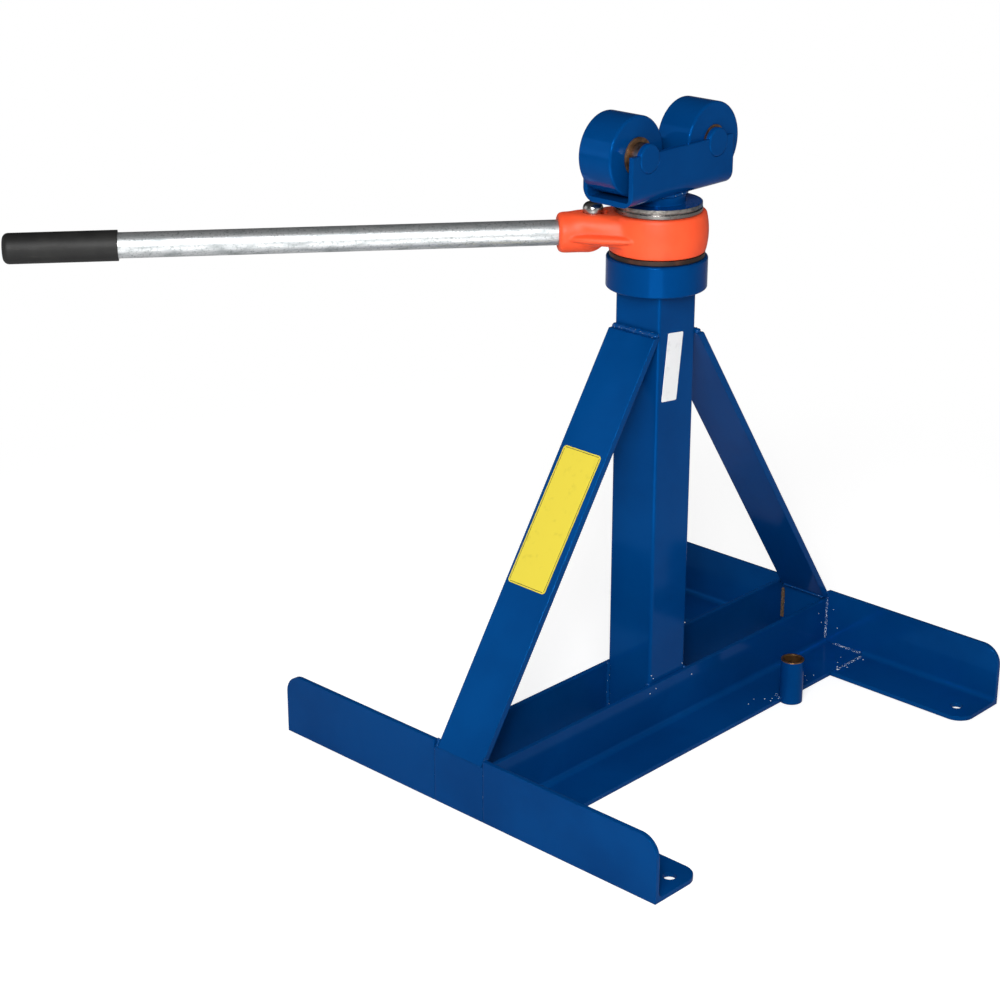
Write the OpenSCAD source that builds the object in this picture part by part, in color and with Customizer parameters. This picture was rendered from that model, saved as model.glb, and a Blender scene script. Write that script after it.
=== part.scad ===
// Ratchet cable drum jack: a screw jack on a welded angle-iron base, with a two-roller saddle.
// X runs along the feet, Y along the base beams and Z up.
// The origin is on the floor, under the axis of the column.

/* [Base] */
// Length of each foot along X
foot_length = 670; // [560:5:760]
// Length of the base along Y, over the outer faces of the feet
base_length = 757; // [680:1:840]
// Leg of the foot angles
foot_leg = 89; // [82:1:100]
// Leg of the beam angles
beam_leg = 76; // [64:1:80]
// Height of the upright leg of the left beam
left_beam_height = 85; // [76:1:90]
// Thickness of the base angles and of the end plates
angle_thickness = 6.4; // [5:0.1:8]
// Fillet in the root of the angles
angle_root_radius = 8; // [4:0.5:10]
// Sideways shift of the rear foot along X
rear_foot_shift = 8; // [0:1:10]
// Radius of the round corners at the ends of the feet
foot_corner_radius = 28; // [10:1:34]
// Height of the end plates that close the channel between the beams
end_plate_height = 79; // [70:1:82]
// Open seam left at each side of an end plate
end_plate_seam = 1; // [0.5:0.1:1.5]
// Diameter of the anchor holes
anchor_hole_diameter = 17.5; // [12:0.5:22]
// Distance of the anchor holes from the ends of the front foot
anchor_end_inset = 24; // [18:1:40]
// Distance of the anchor holes from the outer faces of the feet
anchor_face_inset = 56; // [45:1:62]

/* [Column] */
// Outside width of the square column
column_width = 76.2; // [72:0.2:80]
// Wall of the column
column_wall = 6.4; // [4:0.1:7]
// Outside corner radius of the column
column_corner_radius = 4; // [2:0.5:12]
// Height of the top end of the column
column_height = 635; // [600:1:720]

/* [Braces] */
// Width of the flat-bar braces
brace_width = 79; // [60:1:80]
// Thickness of the braces
brace_thickness = 9.5; // [6:0.5:12]
// Sideways shift of the front brace along X
front_brace_shift = 1; // [-4:1:4]
// Sideways shift of the rear brace along X
rear_brace_shift = 4; // [-4:1:4]
// Height at which the front brace meets the column
front_brace_top = 580; // [480:1:590]
// Height at which the rear brace meets the column
rear_brace_top = 569; // [480:1:590]

/* [Tie socket] */
// Outside diameter of the pipe socket on the beam
tie_socket_diameter = 33.4; // [28:0.2:40]
// Bore of the pipe socket
tie_socket_bore = 26.6; // [20:0.2:27]
// Height of the pipe socket
tie_socket_height = 66; // [40:1:90]
// Place of the pipe socket along the beam
tie_socket_y = 184; // [100:1:220]
// Distance of the socket's axis outside the edge of the beam
tie_socket_overhang = 6; // [2:0.5:10]

/* [Head bearing] */
// Outside diameter of the collar on the column
collar_diameter = 134.5; // [128:0.5:140]
// Height of the collar
collar_height = 42; // [34:1:50]
// Outer radius of the bearing races
race_outer_radius = 59; // [57:0.5:60]
// Inner radius of the bearing races
race_inner_radius = 42; // [40:0.5:44]
// Thickness of the lower race
race_thickness = 5; // [4:0.5:7]
// Diameter of the bearing balls
ball_diameter = 9.5; // [8:0.5:11]
// Number of bearing balls
ball_count = 24; // [16:1:28]
// Radius of the thrust washer
thrust_washer_radius = 63.2; // [60:0.2:66]
// Thickness of the thrust washer
thrust_washer_thickness = 6; // [4:0.5:8]

/* [Ratchet] */
// Height of the ratchet housing
housing_height = 53; // [48:1:60]
// Largest radius of the ratchet housing
housing_radius = 67; // [65:0.5:72]
// How much narrower the housing is at its rims than at its middle
housing_crown = 3.5; // [2:0.5:5]
// Teeth of the ratchet wheel
tooth_count = 24; // [24, 36]
// Radius over the teeth
tooth_tip_radius = 58; // [55:0.5:59]
// Depth of the teeth
tooth_depth = 5; // [4:0.5:6]
// Radius of the nut's bore in the wheel
nut_radius = 35; // [33:0.5:36]
// Radius of the bare steel rings on top of the ratchet
ring_radius = 58.4; // [56:0.2:60]
// Thickness of the retaining ring
retaining_ring_thickness = 5; // [5:0.5:9]
// Thickness of the washer that the saddle rests on
rest_washer_thickness = 1.6; // [1.2:0.2:6]

/* [Handle] */
// Direction of the handle, from +X
handle_angle = 230.2; // [0:0.1:360]
// Outside diameter of the handle pipe
pipe_diameter = 33.4; // [30:0.2:36]
// Wall of the handle pipe
pipe_wall = 3.4; // [2.5:0.1:5]
// Distance from the column axis to the end of the grip
handle_reach = 843; // [600:1:1000]
// Length of the rubber grip
grip_length = 145; // [100:1:200]
// Wall of the rubber grip
grip_wall = 3.2; // [3:0.1:6]
// Outside diameter of the handle socket on the housing
socket_diameter = 54; // [48:1:58]
// Distance from the column axis to the mouth of the handle socket
socket_reach = 133; // [126:1:150]
// Length of pipe held in the socket
socket_depth = 20; // [15:1:24]

/* [Pawl] */
// Radius of the pawl knob
knob_radius = 13.5; // [12:0.5:16]
// Height of the pawl knob
knob_height = 14; // [10:0.5:15]
// Radius of the pawl's shaft
pawl_shaft_radius = 6; // [5:0.5:7]

/* [Screw] */
// Diameter of the jack screw
screw_diameter = 50; // [44:0.5:52]
// Lift of the screw
screw_travel = 304.8; // [150:0.1:320]
// Height of the square block at the foot of the screw, which slides in the column and stops the lift
guide_height = 25; // [15:1:35]

/* [Saddle] */
// Radius of the disc under the saddle
saddle_disc_radius = 58; // [52:0.5:60]
// Thickness of the disc under the saddle
saddle_disc_thickness = 5; // [4:0.5:10]
// Radius of the neck between the disc and the saddle
saddle_neck_radius = 36; // [30:0.5:40]
// Height of the neck between the disc and the saddle
saddle_neck_height = 11.4; // [6:0.2:20]
// Length of the saddle channel along Y
saddle_length = 203; // [190:1:230]
// Outside width of the saddle channel
saddle_width = 83; // [80:1:100]
// Plate thickness of the saddle channel
saddle_thickness = 7; // [6:0.5:10]
// How far the sides of the saddle channel reach above the axes of the rollers
saddle_cover = 6; // [0:0.5:10]
// Outside bend radius of the saddle channel
saddle_bend_radius = 18; // [14:1:24]
// Radius of the inside corners of the saddle, which the rollers clear
saddle_root_radius = 4.5; // [3:0.5:5]

/* [Rollers] */
// Diameter of the rollers
roller_diameter = 104; // [80:1:106]
// Length of the rollers
roller_length = 54; // [51:1:58]
// Distance between the axes of the two rollers
roller_pitch = 138; // [125:1:150]
// Gap between the rollers and the floor of the saddle channel
roller_floor_gap = 1.5; // [1:0.5:8]
// Radius of the round edges of the rollers
roller_edge_radius = 3; // [2:0.5:6]
// Diameter of the axles
axle_diameter = 38; // [30:0.5:40]
// How far the axles stand out of the saddle on each side
axle_stand_out = 1; // [0.5:0.5:5]
// Wall of the roller bushes
bush_wall = 3; // [2:0.5:5]
// Length of one roller bush
bush_length = 25; // [15:1:25]

/* [Hidden] */
$fn = 96;
// Gap between pieces that move past each other
running_gap = 0.3;
// Radial clearance of shafts that turn in a bore
shaft_clearance = 0.08;
// Clearance of pieces that are seated in each other
seat_clearance = 0.05;
// Overlap used where a cut runs past a face
cut = 1;

// Base and column
foot_half = foot_length / 2;
base_half = base_length / 2;
column_half = column_width / 2;
column_bore_radius = 1.5;
beam_edge = column_half + beam_leg;
end_plate_half = column_half + angle_thickness;
tie_socket_x = beam_edge + tie_socket_overhang;
flange_corner_radius = foot_corner_radius - 3;

// Heights of the stack on the column, from the bottom up
collar_top = column_height + collar_height;
collar_edge_radius = 2.5;
recess_depth = 17;
recess_floor = collar_top - recess_depth;
washer_gap = 1;
washer_bottom = collar_top + washer_gap;
washer_top = washer_bottom + thrust_washer_thickness;
wheel_bottom = washer_top;
housing_bottom = washer_top + running_gap;
housing_top = housing_bottom + housing_height;
housing_lip = 5;
wheel_top = housing_top - housing_lip - running_gap;
boss_top = housing_top + 2 * running_gap;
ring_top = boss_top + retaining_ring_thickness;
rest_top = ring_top + rest_washer_thickness;
disc_bottom = rest_top + running_gap;
disc_top = disc_bottom + saddle_disc_thickness;
saddle_bottom = disc_top + saddle_neck_height;
axle_height = saddle_bottom + saddle_thickness + roller_floor_gap + roller_diameter / 2;
saddle_top = axle_height + saddle_cover;
saddle_height = saddle_top - saddle_bottom;
handle_height = housing_bottom + housing_height / 2;

// Bearing
race_top = recess_floor + race_thickness;
upper_race_bottom = washer_bottom - race_thickness;
ball_height = (race_top + upper_race_bottom) / 2;
ball_track_radius = (race_outer_radius + race_inner_radius) / 2;
collar_bore_radius = nut_radius + 1.5;

// Ratchet
tooth_root_radius = tooth_tip_radius - tooth_depth;
nut_flange_radius = nut_radius + 3;
boss_radius = nut_flange_radius + 10;
lip_radius = boss_radius + 0.5;
housing_bore_radius = tooth_tip_radius + 1.3;
tooth_angle = 360 / tooth_count;
nut_bottom = recess_floor - 10;
key_width = 8;
key_length = 36;
key_bottom = wheel_bottom + 6;
retainer_screw_radius = 3;
retainer_head_radius = 4.5;
retainer_head_height = 4;
retainer_screw_pitch_radius = (nut_flange_radius + boss_radius) / 2;
retainer_screw_depth = 16;
ring_bore_gap = 1;
ring_step = 2;

// Housing arm and pawl
pawl_reach = tooth_tip_radius + 28;
socket_radius = socket_diameter / 2;
socket_start = pawl_reach + 7;
arm_end = socket_reach - 33;
arm_bottom = handle_height - 12.5;
arm_shoulder = handle_height + 16;
arm_top = housing_top - 1;
// Levels of the arm, from the bottom up: height, radius round the wheel's axis, radius at the socket
arm_levels = [[arm_bottom, 60, 26], [arm_shoulder, 52, 25.5], [arm_top, 38, 17]];
window_length = 10;
window_half_width = 9;
pocket_bottom = handle_height - 8.8;
pocket_top = handle_height + 15.2;
pocket_half_width = 22;
dog_hub_radius = 12;
dog_bottom = pocket_bottom + running_gap;
dog_top = pocket_top - running_gap;
knob_bottom = arm_top + running_gap;
detent_radius = 2.5;
detent_reach = 9.5;
detent_depth = 9;
spring_wire_radius = 0.48;
spring_rings = 4;

// Handle
pipe_radius = pipe_diameter / 2;
pipe_start = socket_reach - socket_depth;
grip_end_wall = 5;
grip_radius = pipe_radius + grip_wall;
grip_start = handle_reach - grip_length;
pipe_end = handle_reach - grip_end_wall - seat_clearance;

// Screw
screw_radius = screw_diameter / 2;
stop_margin = 19;
guide_gap = 0.6;
guide_width = column_width - 2 * column_wall - 2 * guide_gap;
guide_corner_radius = 5;
guide_top = nut_bottom - stop_margin - screw_travel;
guide_bottom = guide_top - guide_height;
screw_bottom = guide_bottom - 5;
guide_pin_radius = 4;
screw_chamfer = 3;

// Saddle and rollers
saddle_half = saddle_width / 2;
saddle_inner_half = saddle_half - saddle_thickness;
axle_radius = axle_diameter / 2;
axle_chamfer = 1.5;
roller_half = roller_length / 2;
roller_y = roller_pitch / 2;
bush_bore_radius = axle_radius + shaft_clearance;
bush_radius = bush_bore_radius + bush_wall;
roller_play = saddle_inner_half - roller_half - running_gap;
roller_washer_radius = axle_radius + 6;
roller_washer_thickness = min(3, roller_play);

paint_blue = "#0b4a8f";
bare_steel = "#a9a9a4";
dark_steel = "#4b4744";
bronze = "#a8814a";

// Square with round corners, centred on the origin
module rounded_square(width, radius) {
    flat = width - 2 * radius;
    union() {
        square([width, flat], center = true);
        square([flat, width], center = true);
        for (sx = [-1, 1], sy = [-1, 1])
            translate([sx * flat / 2, sy * flat / 2]) circle(r = radius);
    }
}

// Half section of a ring from z = 0, with its two outer edges rounded
module ring_section(inner, outer, height, edge) {
    union() {
        square_between(inner, outer - edge, 0, height);
        square_between(inner, outer, edge, height - edge);
        for (z = [edge, height - edge])
            translate([outer - edge, z]) circle(r = edge, $fn = 48);
    }
}

// Rectangle given by its sides
module square_between(x0, x1, y0, y1) {
    translate([x0, y0]) square([x1 - x0, y1 - y0]);
}

// Flat ring that stands on the height z
module ring(inner, outer, z, height) {
    translate([0, 0, z]) difference() {
        cylinder(r = outer, h = height);
        translate([0, 0, -cut]) cylinder(r = inner, h = height + 2 * cut);
    }
}

// Material to remove to round the outer corner of a plate, with the corner at the origin
module corner_waste(radius) {
    difference() {
        translate([-radius, -radius]) square(radius + cut);
        translate([-radius, -radius]) circle(r = radius);
    }
}

// Rolled angle: the heel at the origin, the flat leg along +X and the upright leg along +Y
module angle_section(flat, upright) {
    root = angle_thickness + angle_root_radius;
    difference() {
        union() {
            square([flat, angle_thickness]);
            square([angle_thickness, upright]);
            square(root);
        }
        translate([root, root]) circle(r = angle_root_radius);
    }
}

// Turns a profile drawn in X and Y so that it stands in X and Z and runs along Y
module along_y(length) {
    translate([0, length / 2, 0]) rotate([90, 0, 0]) linear_extrude(length) children();
}

// Turns a profile drawn in X and Y so that it stands in Y and Z and runs along +X
module along_x(length) {
    rotate([90, 0, 90]) linear_extrude(length) children();
}

// Beam angle of the +X side: its upright leg against the column, its flat leg outwards
module beam_angle(upright) {
    translate([column_half, 0, 0]) along_y(base_length - 2 * angle_thickness)
        angle_section(beam_leg, upright);
}

// Foot angle of the front, +X side, up to x = end: its flat leg is cut away where the beam
// runs through to its upright leg
module foot_angle(end) {
    difference() {
        translate([end_plate_half, -base_half, 0]) along_x(end - end_plate_half)
            angle_section(foot_leg, foot_leg);
        translate([end_plate_half - cut, -base_half + angle_thickness, -cut])
            cube([beam_edge - end_plate_half + cut, foot_leg, foot_leg]);
        translate([end, -base_half + foot_leg / 2, foot_leg])
            rotate([90, 0, 0]) linear_extrude(foot_leg, center = true) corner_waste(foot_corner_radius);
        translate([end, -base_half + foot_leg, -cut])
            linear_extrude(angle_thickness + 2 * cut) corner_waste(flange_corner_radius);
        translate([foot_half - anchor_end_inset, -base_half + anchor_face_inset, -cut])
            cylinder(d = anchor_hole_diameter, h = angle_thickness + 2 * cut);
    }
}

// End plate of the front
module end_plate() {
    half = end_plate_half - end_plate_seam;
    translate([-half, -base_half, 0]) cube([2 * half, angle_thickness, end_plate_height]);
}

// Side outline of the front brace, from the end plate up to the column
module brace_outline(top) {
    slope = (base_half - column_half) / (top - end_plate_height);
    depth = brace_thickness * sqrt(1 + slope * slope);
    low = -base_half;
    high = -column_half - depth;
    polygon([
        [low, end_plate_height],
        [low + depth, end_plate_height],
        [high + depth, top],
        [high, top]
    ]);
}

// Flat-bar brace of the front
module brace(shift, top) {
    translate([shift - brace_width / 2, 0, 0]) along_x(brace_width) brace_outline(top);
}

// Cope in the upright leg of the left beam that clears the foot of the front brace
module brace_cope(top) {
    translate([-end_plate_half - cut, 0, 0]) along_x(angle_thickness + 2 * cut)
        offset(delta = end_plate_seam) brace_outline(top);
}

module beam_angle_right() {
    color(paint_blue) difference() {
        beam_angle(beam_leg);
        translate([tie_socket_x, tie_socket_y, -cut])
            cylinder(d = tie_socket_diameter + 2 * seat_clearance, h = tie_socket_height);
    }
}

module beam_angle_left() {
    color(paint_blue) difference() {
        mirror([1, 0, 0]) beam_angle(left_beam_height);
        brace_cope(front_brace_top);
        mirror([0, 1, 0]) brace_cope(rear_brace_top);
    }
}

module front_foot_right() { color(paint_blue) foot_angle(foot_half); }
module front_foot_left() { color(paint_blue) mirror([1, 0, 0]) foot_angle(foot_half); }
module rear_foot_right() { color(paint_blue) mirror([0, 1, 0]) foot_angle(foot_half + rear_foot_shift); }
module rear_foot_left() {
    color(paint_blue) mirror([1, 0, 0]) mirror([0, 1, 0]) foot_angle(foot_half - rear_foot_shift);
}
module front_end_plate() { color(paint_blue) end_plate(); }
module rear_end_plate() { color(paint_blue) mirror([0, 1, 0]) end_plate(); }
module front_brace() { color(paint_blue) brace(front_brace_shift, front_brace_top); }
module rear_brace() { color(paint_blue) mirror([0, 1, 0]) brace(rear_brace_shift, rear_brace_top); }

module column_tube() {
    color(paint_blue) linear_extrude(column_height) difference() {
        rounded_square(column_width, column_corner_radius);
        rounded_square(column_width - 2 * column_wall, column_bore_radius);
    }
}

module tie_socket() {
    color(paint_blue) translate([tie_socket_x, tie_socket_y, 0])
        ring(tie_socket_bore / 2, tie_socket_diameter / 2, 0, tie_socket_height);
}

// Collar on the column: a stepped ring that holds the thrust bearing
module head_collar() {
    color(paint_blue) translate([0, 0, column_height]) rotate_extrude() difference() {
        ring_section(collar_bore_radius, collar_diameter / 2, collar_height, collar_edge_radius);
        square_between(
            0, race_outer_radius + seat_clearance,
            collar_height - recess_depth, collar_height + cut
        );
    }
}

// Groove of the bearing balls
module ball_track() {
    translate([ball_track_radius, ball_height]) circle(d = ball_diameter + 2 * running_gap, $fn = 48);
}

module bearing_lower_race() {
    color(bare_steel) rotate_extrude() difference() {
        square_between(race_inner_radius, race_outer_radius, recess_floor, race_top);
        ball_track();
    }
}

module bearing_balls() {
    color(bare_steel) for (i = [0 : ball_count - 1])
        rotate([0, 0, i * 360 / ball_count]) translate([ball_track_radius, 0, ball_height])
            sphere(d = ball_diameter, $fn = 32);
}

// Upper race of the bearing, with a flange that covers the collar
module thrust_washer() {
    color(dark_steel) rotate_extrude() difference() {
        union() {
            square_between(race_inner_radius, race_outer_radius - cut, upper_race_bottom, washer_top);
            square_between(race_inner_radius, thrust_washer_radius, washer_bottom, washer_top);
        }
        ball_track();
    }
}

// Tooth outline of the ratchet wheel: a tooth stands on the X axis
module ratchet_teeth() {
    tip = tooth_angle * 0.19;
    root = tooth_angle * 0.33;
    corners = [
        [tooth_root_radius, -root], [tooth_tip_radius, -tip],
        [tooth_tip_radius, tip], [tooth_root_radius, root]
    ];
    polygon([for (i = [0 : tooth_count - 1], c = corners)
        let (a = i * tooth_angle + c[1]) [c[0] * cos(a), c[0] * sin(a)]]);
}

// Slot for the key between the nut and the wheel
module key_slot(clearance) {
    width = key_width + 2 * clearance;
    translate([nut_radius, 0, key_bottom + key_length / 2])
        cube([width, width, key_length + 2 * clearance], center = true);
}

// Places of the screws that hold the retaining ring
module at_retainer_screws() {
    for (i = [0 : 3])
        rotate([0, 0, 45 + i * 90]) translate([retainer_screw_pitch_radius, 0, 0]) children();
}

// Countersunk-style screws whose flat heads end level with the top of the retaining ring
module retainer_screw_bodies(clearance) {
    at_retainer_screws() {
        translate([0, 0, ring_top - retainer_screw_depth - clearance])
            cylinder(r = retainer_screw_radius + clearance, h = retainer_screw_depth + clearance, $fn = 32);
        translate([0, 0, ring_top - retainer_head_height - clearance])
            cylinder(r = retainer_head_radius + clearance, h = retainer_head_height + clearance, $fn = 32);
    }
}

module ratchet_wheel() {
    color(dark_steel) difference() {
        union() {
            rotate([0, 0, handle_angle]) translate([0, 0, wheel_bottom])
                linear_extrude(wheel_top - wheel_bottom) ratchet_teeth();
            translate([0, 0, wheel_bottom]) cylinder(r = boss_radius, h = boss_top - wheel_bottom);
        }
        translate([0, 0, wheel_bottom - cut])
            cylinder(r = nut_radius + seat_clearance, h = boss_top - wheel_bottom + 2 * cut);
        translate([0, 0, wheel_top]) cylinder(r = nut_flange_radius + seat_clearance, h = boss_top);
        key_slot(seat_clearance);
        retainer_screw_bodies(seat_clearance);
    }
}

// Flanged nut of the jack screw
module screw_nut() {
    color(bronze) difference() {
        union() {
            translate([0, 0, nut_bottom]) cylinder(r = nut_radius, h = wheel_top - nut_bottom);
            translate([0, 0, wheel_top]) cylinder(r = nut_flange_radius, h = boss_top - wheel_top);
        }
        translate([0, 0, nut_bottom - cut])
            cylinder(r = screw_radius + shaft_clearance, h = boss_top - nut_bottom + 2 * cut);
        key_slot(seat_clearance);
    }
}

module nut_key() { color(bare_steel) key_slot(0); }

module retaining_ring() {
    color(bare_steel) difference() {
        ring(screw_radius + ring_bore_gap, ring_radius, boss_top, retaining_ring_thickness);
        retainer_screw_bodies(seat_clearance);
    }
}

module rest_washer() {
    color(bare_steel)
        ring(screw_radius + ring_bore_gap, ring_radius - ring_step, ring_top, rest_washer_thickness);
}

module retainer_screws() {
    color(dark_steel) retainer_screw_bodies(0);
}

// Turns a piece drawn along +X so that it lies along the handle
module along_handle() {
    rotate([0, 0, handle_angle]) children();
}

// Round bar along the handle's axis
module handle_bar(radius, from, to) {
    translate([from, 0, handle_height]) rotate([0, 90, 0]) cylinder(r = radius, h = to - from);
}

// Barrel-shaped ring of the ratchet housing, with a lip inside its top rim
module housing_ring() {
    half = housing_height / 2;
    crown_radius = (half * half + housing_crown * housing_crown) / (2 * housing_crown);
    translate([0, 0, housing_bottom]) rotate_extrude() difference() {
        intersection() {
            square_between(lip_radius, housing_radius, 0, housing_height);
            translate([housing_radius - crown_radius, half]) circle(r = crown_radius, $fn = 180);
        }
        square_between(0, housing_bore_radius, -cut, housing_height - housing_lip);
    }
}

// Arm that carries the handle socket: a web with sloping sides and a round socket with a domed inner end
module housing_arm() {
    edge = 4;
    disc = 2;
    hull() for (level = arm_levels) {
        translate([0, 0, level[0] - disc / 2]) cylinder(r = level[1], h = disc, $fn = 64);
        translate([arm_end, 0, level[0] - disc / 2]) cylinder(r = level[2], h = disc, $fn = 48);
    }
    translate([socket_start, 0, handle_height]) sphere(r = socket_radius);
    translate([socket_start, 0, handle_height]) rotate([0, 90, 0]) rotate_extrude() union() {
        square_between(0, socket_radius, 0, socket_reach - socket_start - edge);
        square_between(0, socket_radius - edge, 0, socket_reach - socket_start);
        translate([socket_radius - edge, socket_reach - socket_start - edge]) circle(r = edge, $fn = 48);
    }
}

// Hollow inside the arm in which the pawl swings
module pawl_pocket() {
    start = housing_bore_radius - 9;
    height = pocket_top - pocket_bottom;
    translate([start, -pocket_half_width, pocket_bottom])
        cube([pawl_reach - start, 2 * pocket_half_width, height]);
    translate([pawl_reach, 0, pocket_bottom]) cylinder(r = dog_hub_radius + 2, h = height);
}

// Window in the roof of the arm, between the ring and the knob
module pawl_window() {
    translate([housing_radius - 1, -window_half_width, pocket_top - cut])
        cube([window_length, 2 * window_half_width, housing_height]);
}

module ratchet_housing() {
    color("orangered") along_handle() difference() {
        union() {
            housing_ring();
            difference() {
                housing_arm();
                translate([0, 0, housing_bottom - cut])
                    cylinder(r = housing_bore_radius, h = housing_height - housing_lip + cut);
                translate([0, 0, housing_bottom]) cylinder(r = lip_radius, h = housing_height + cut);
            }
        }
        pawl_pocket();
        pawl_window();
        translate([pawl_reach, 0, pocket_bottom])
            cylinder(r = pawl_shaft_radius + shaft_clearance, h = housing_height);
        handle_bar(pipe_radius + seat_clearance, pipe_start, socket_reach + cut);
        translate([pawl_reach + detent_reach, 0, arm_top - detent_depth])
            cylinder(r = detent_radius + shaft_clearance, h = detent_depth + socket_diameter);
        translate([pawl_reach, 0, arm_top]) cylinder(r = knob_radius + 2, h = socket_diameter);
    }
}

module handle_pipe() {
    color(bare_steel) along_handle() difference() {
        handle_bar(pipe_radius, pipe_start, pipe_end);
        handle_bar(pipe_radius - pipe_wall, pipe_start - cut, pipe_end + cut);
    }
}

module handle_grip() {
    edge = 8;
    color("#2b2a29") along_handle() difference() {
        translate([grip_start, 0, handle_height]) rotate([0, 90, 0]) rotate_extrude() union() {
            square_between(0, grip_radius, 0, grip_length - edge);
            square_between(0, grip_radius - edge, 0, grip_length);
            translate([grip_radius - edge, grip_length - edge]) circle(r = edge, $fn = 48);
        }
        handle_bar(pipe_radius + seat_clearance, grip_start - cut, handle_reach - grip_end_wall);
    }
}

module detent_ball() {
    color(bare_steel) along_handle()
        translate([pawl_reach + detent_reach, 0, arm_top - detent_radius])
            sphere(r = detent_radius, $fn = 32);
}

// Coils of the small spring under the detent ball
module detent_spring() {
    wire = spring_wire_radius;
    color(bare_steel) along_handle()
        translate([pawl_reach + detent_reach, 0, arm_top - detent_depth + wire])
            for (i = [0 : spring_rings - 1])
                translate([0, 0, 2.05 * wire * i])
                    rotate_extrude($fn = 32) translate([detent_radius - wire, 0]) circle(r = wire, $fn = 16);
}

// Two-horned pawl, drawn with its axis at the origin and its horns towards -X, in its middle position
module dog_outline() {
    difference() {
        union() {
            circle(r = dog_hub_radius);
            for (side = [0, 1]) mirror([0, side, 0])
                polygon([[0, 0], [0, 12], [-22, 16.5], [-28.2, 13], [-24.5, 7], [-24.5, 0]]);
        }
        circle(r = pawl_shaft_radius + seat_clearance);
    }
}

module pawl_dog() {
    color(dark_steel) along_handle() translate([pawl_reach, 0, dog_bottom])
        linear_extrude(dog_top - dog_bottom) dog_outline();
}

module pawl_shaft() {
    color(bare_steel) along_handle() translate([pawl_reach, 0, dog_bottom])
        cylinder(r = pawl_shaft_radius, h = knob_bottom + knob_height / 2 - dog_bottom);
}

// Domed knob on top of the pawl's shaft
module pawl_knob() {
    dome = knob_radius - 4.5;
    color(bare_steel) along_handle() translate([pawl_reach, 0, knob_bottom]) difference() {
        rotate_extrude() union() {
            square_between(0, knob_radius, 0, knob_height - dome);
            square_between(0, knob_radius - dome, 0, knob_height);
            translate([knob_radius - dome, knob_height - dome]) intersection() {
                circle(r = dome, $fn = 64);
                square_between(0, dome, 0, dome);
            }
        }
        translate([0, 0, -cut]) cylinder(r = pawl_shaft_radius + seat_clearance, h = knob_height / 2 + cut);
    }
}

// Round bar across the screw at the place of the block's pin
module guide_pin_bar(clearance, length) {
    translate([0, 0, guide_bottom + guide_height / 2]) rotate([0, 90, 0])
        cylinder(r = guide_pin_radius + clearance, h = length, center = true, $fn = 48);
}

module jack_screw() {
    color(bare_steel) difference() {
        union() {
            translate([0, 0, screw_bottom])
                cylinder(r1 = screw_radius - screw_chamfer, r2 = screw_radius, h = screw_chamfer);
            translate([0, 0, screw_bottom + screw_chamfer])
                cylinder(r = screw_radius, h = saddle_bottom - screw_bottom - screw_chamfer);
        }
        guide_pin_bar(seat_clearance, column_width);
    }
}

// Square block that keeps the screw from turning in the square column
module guide_block() {
    color(dark_steel) difference() {
        translate([0, 0, guide_bottom]) linear_extrude(guide_height) difference() {
            rounded_square(guide_width, guide_corner_radius);
            circle(r = screw_radius + seat_clearance);
        }
        guide_pin_bar(seat_clearance, column_width);
    }
}

module guide_pin() { color(bare_steel) guide_pin_bar(0, guide_width - 2); }

// Flanged disc that carries the saddle
module saddle_disc() {
    bore = screw_radius + seat_clearance;
    color(paint_blue) rotate_extrude() union() {
        square_between(bore, saddle_disc_radius, disc_bottom, disc_top);
        square_between(bore, saddle_neck_radius, disc_bottom, saddle_bottom);
    }
}

// Bent-plate section of the saddle, open upwards
module saddle_section() {
    difference() {
        bent_block(saddle_half, 0, saddle_bend_radius, saddle_height);
        bent_block(saddle_inner_half, saddle_thickness, saddle_root_radius, saddle_height + cut);
    }
}

// Block with its two lower edges rounded
module bent_block(half, low, radius, high) {
    union() {
        square_between(-half, half, low + radius, high);
        square_between(radius - half, half - radius, low, high);
        for (s = [-1, 1])
            translate([s * (half - radius), low + radius]) circle(r = radius);
    }
}

// Round bar along X at the place of one axle
module axle_bar(y, radius, length) {
    translate([0, y, axle_height]) rotate([0, 90, 0]) cylinder(r = radius, h = length, center = true);
}

module saddle_channel() {
    color(paint_blue) difference() {
        translate([0, 0, saddle_bottom]) along_y(saddle_length) saddle_section();
        for (s = [-1, 1])
            axle_bar(s * roller_y, axle_radius + seat_clearance, saddle_width + 2 * cut);
    }
}

// Axle with chamfered ends
module axle(y) {
    half = saddle_half + axle_stand_out;
    color(paint_blue) translate([-half, y, axle_height]) rotate([0, 90, 0]) rotate_extrude()
        polygon([
            [0, 0], [axle_radius - axle_chamfer, 0], [axle_radius, axle_chamfer],
            [axle_radius, 2 * half - axle_chamfer], [axle_radius - axle_chamfer, 2 * half], [0, 2 * half]
        ]);
}

module front_axle() { axle(-roller_y); }
module rear_axle() { axle(roller_y); }

// Washers on the axles, each on the side from which its roller has slid away
module roller_washers() {
    color(bronze) for (s = [-1, 1])
        translate([-s * (roller_half - roller_play + running_gap), s * roller_y, axle_height])
            rotate([0, -s * 90, 0])
                ring(axle_radius + seat_clearance, roller_washer_radius, 0, roller_washer_thickness);
}

// Place of the left end of a roller: the front one has slid to the left side plate, the rear one to the right
module at_roller_end(side) {
    translate([side * roller_play - roller_half, side * roller_y, axle_height]) rotate([0, 90, 0]) children();
}

// Steel roller with a bore for its bushes
module roller(side) {
    bore = bush_radius + seat_clearance;
    color(paint_blue) at_roller_end(side)
        rotate_extrude() ring_section(bore, roller_diameter / 2, roller_length, roller_edge_radius);
}

// Pair of plain bushes in the ends of one roller
module roller_bushes(side) {
    color(bronze) at_roller_end(side)
        for (z = [0, roller_length - bush_length]) ring(bush_bore_radius, bush_radius, z, bush_length);
}

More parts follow.
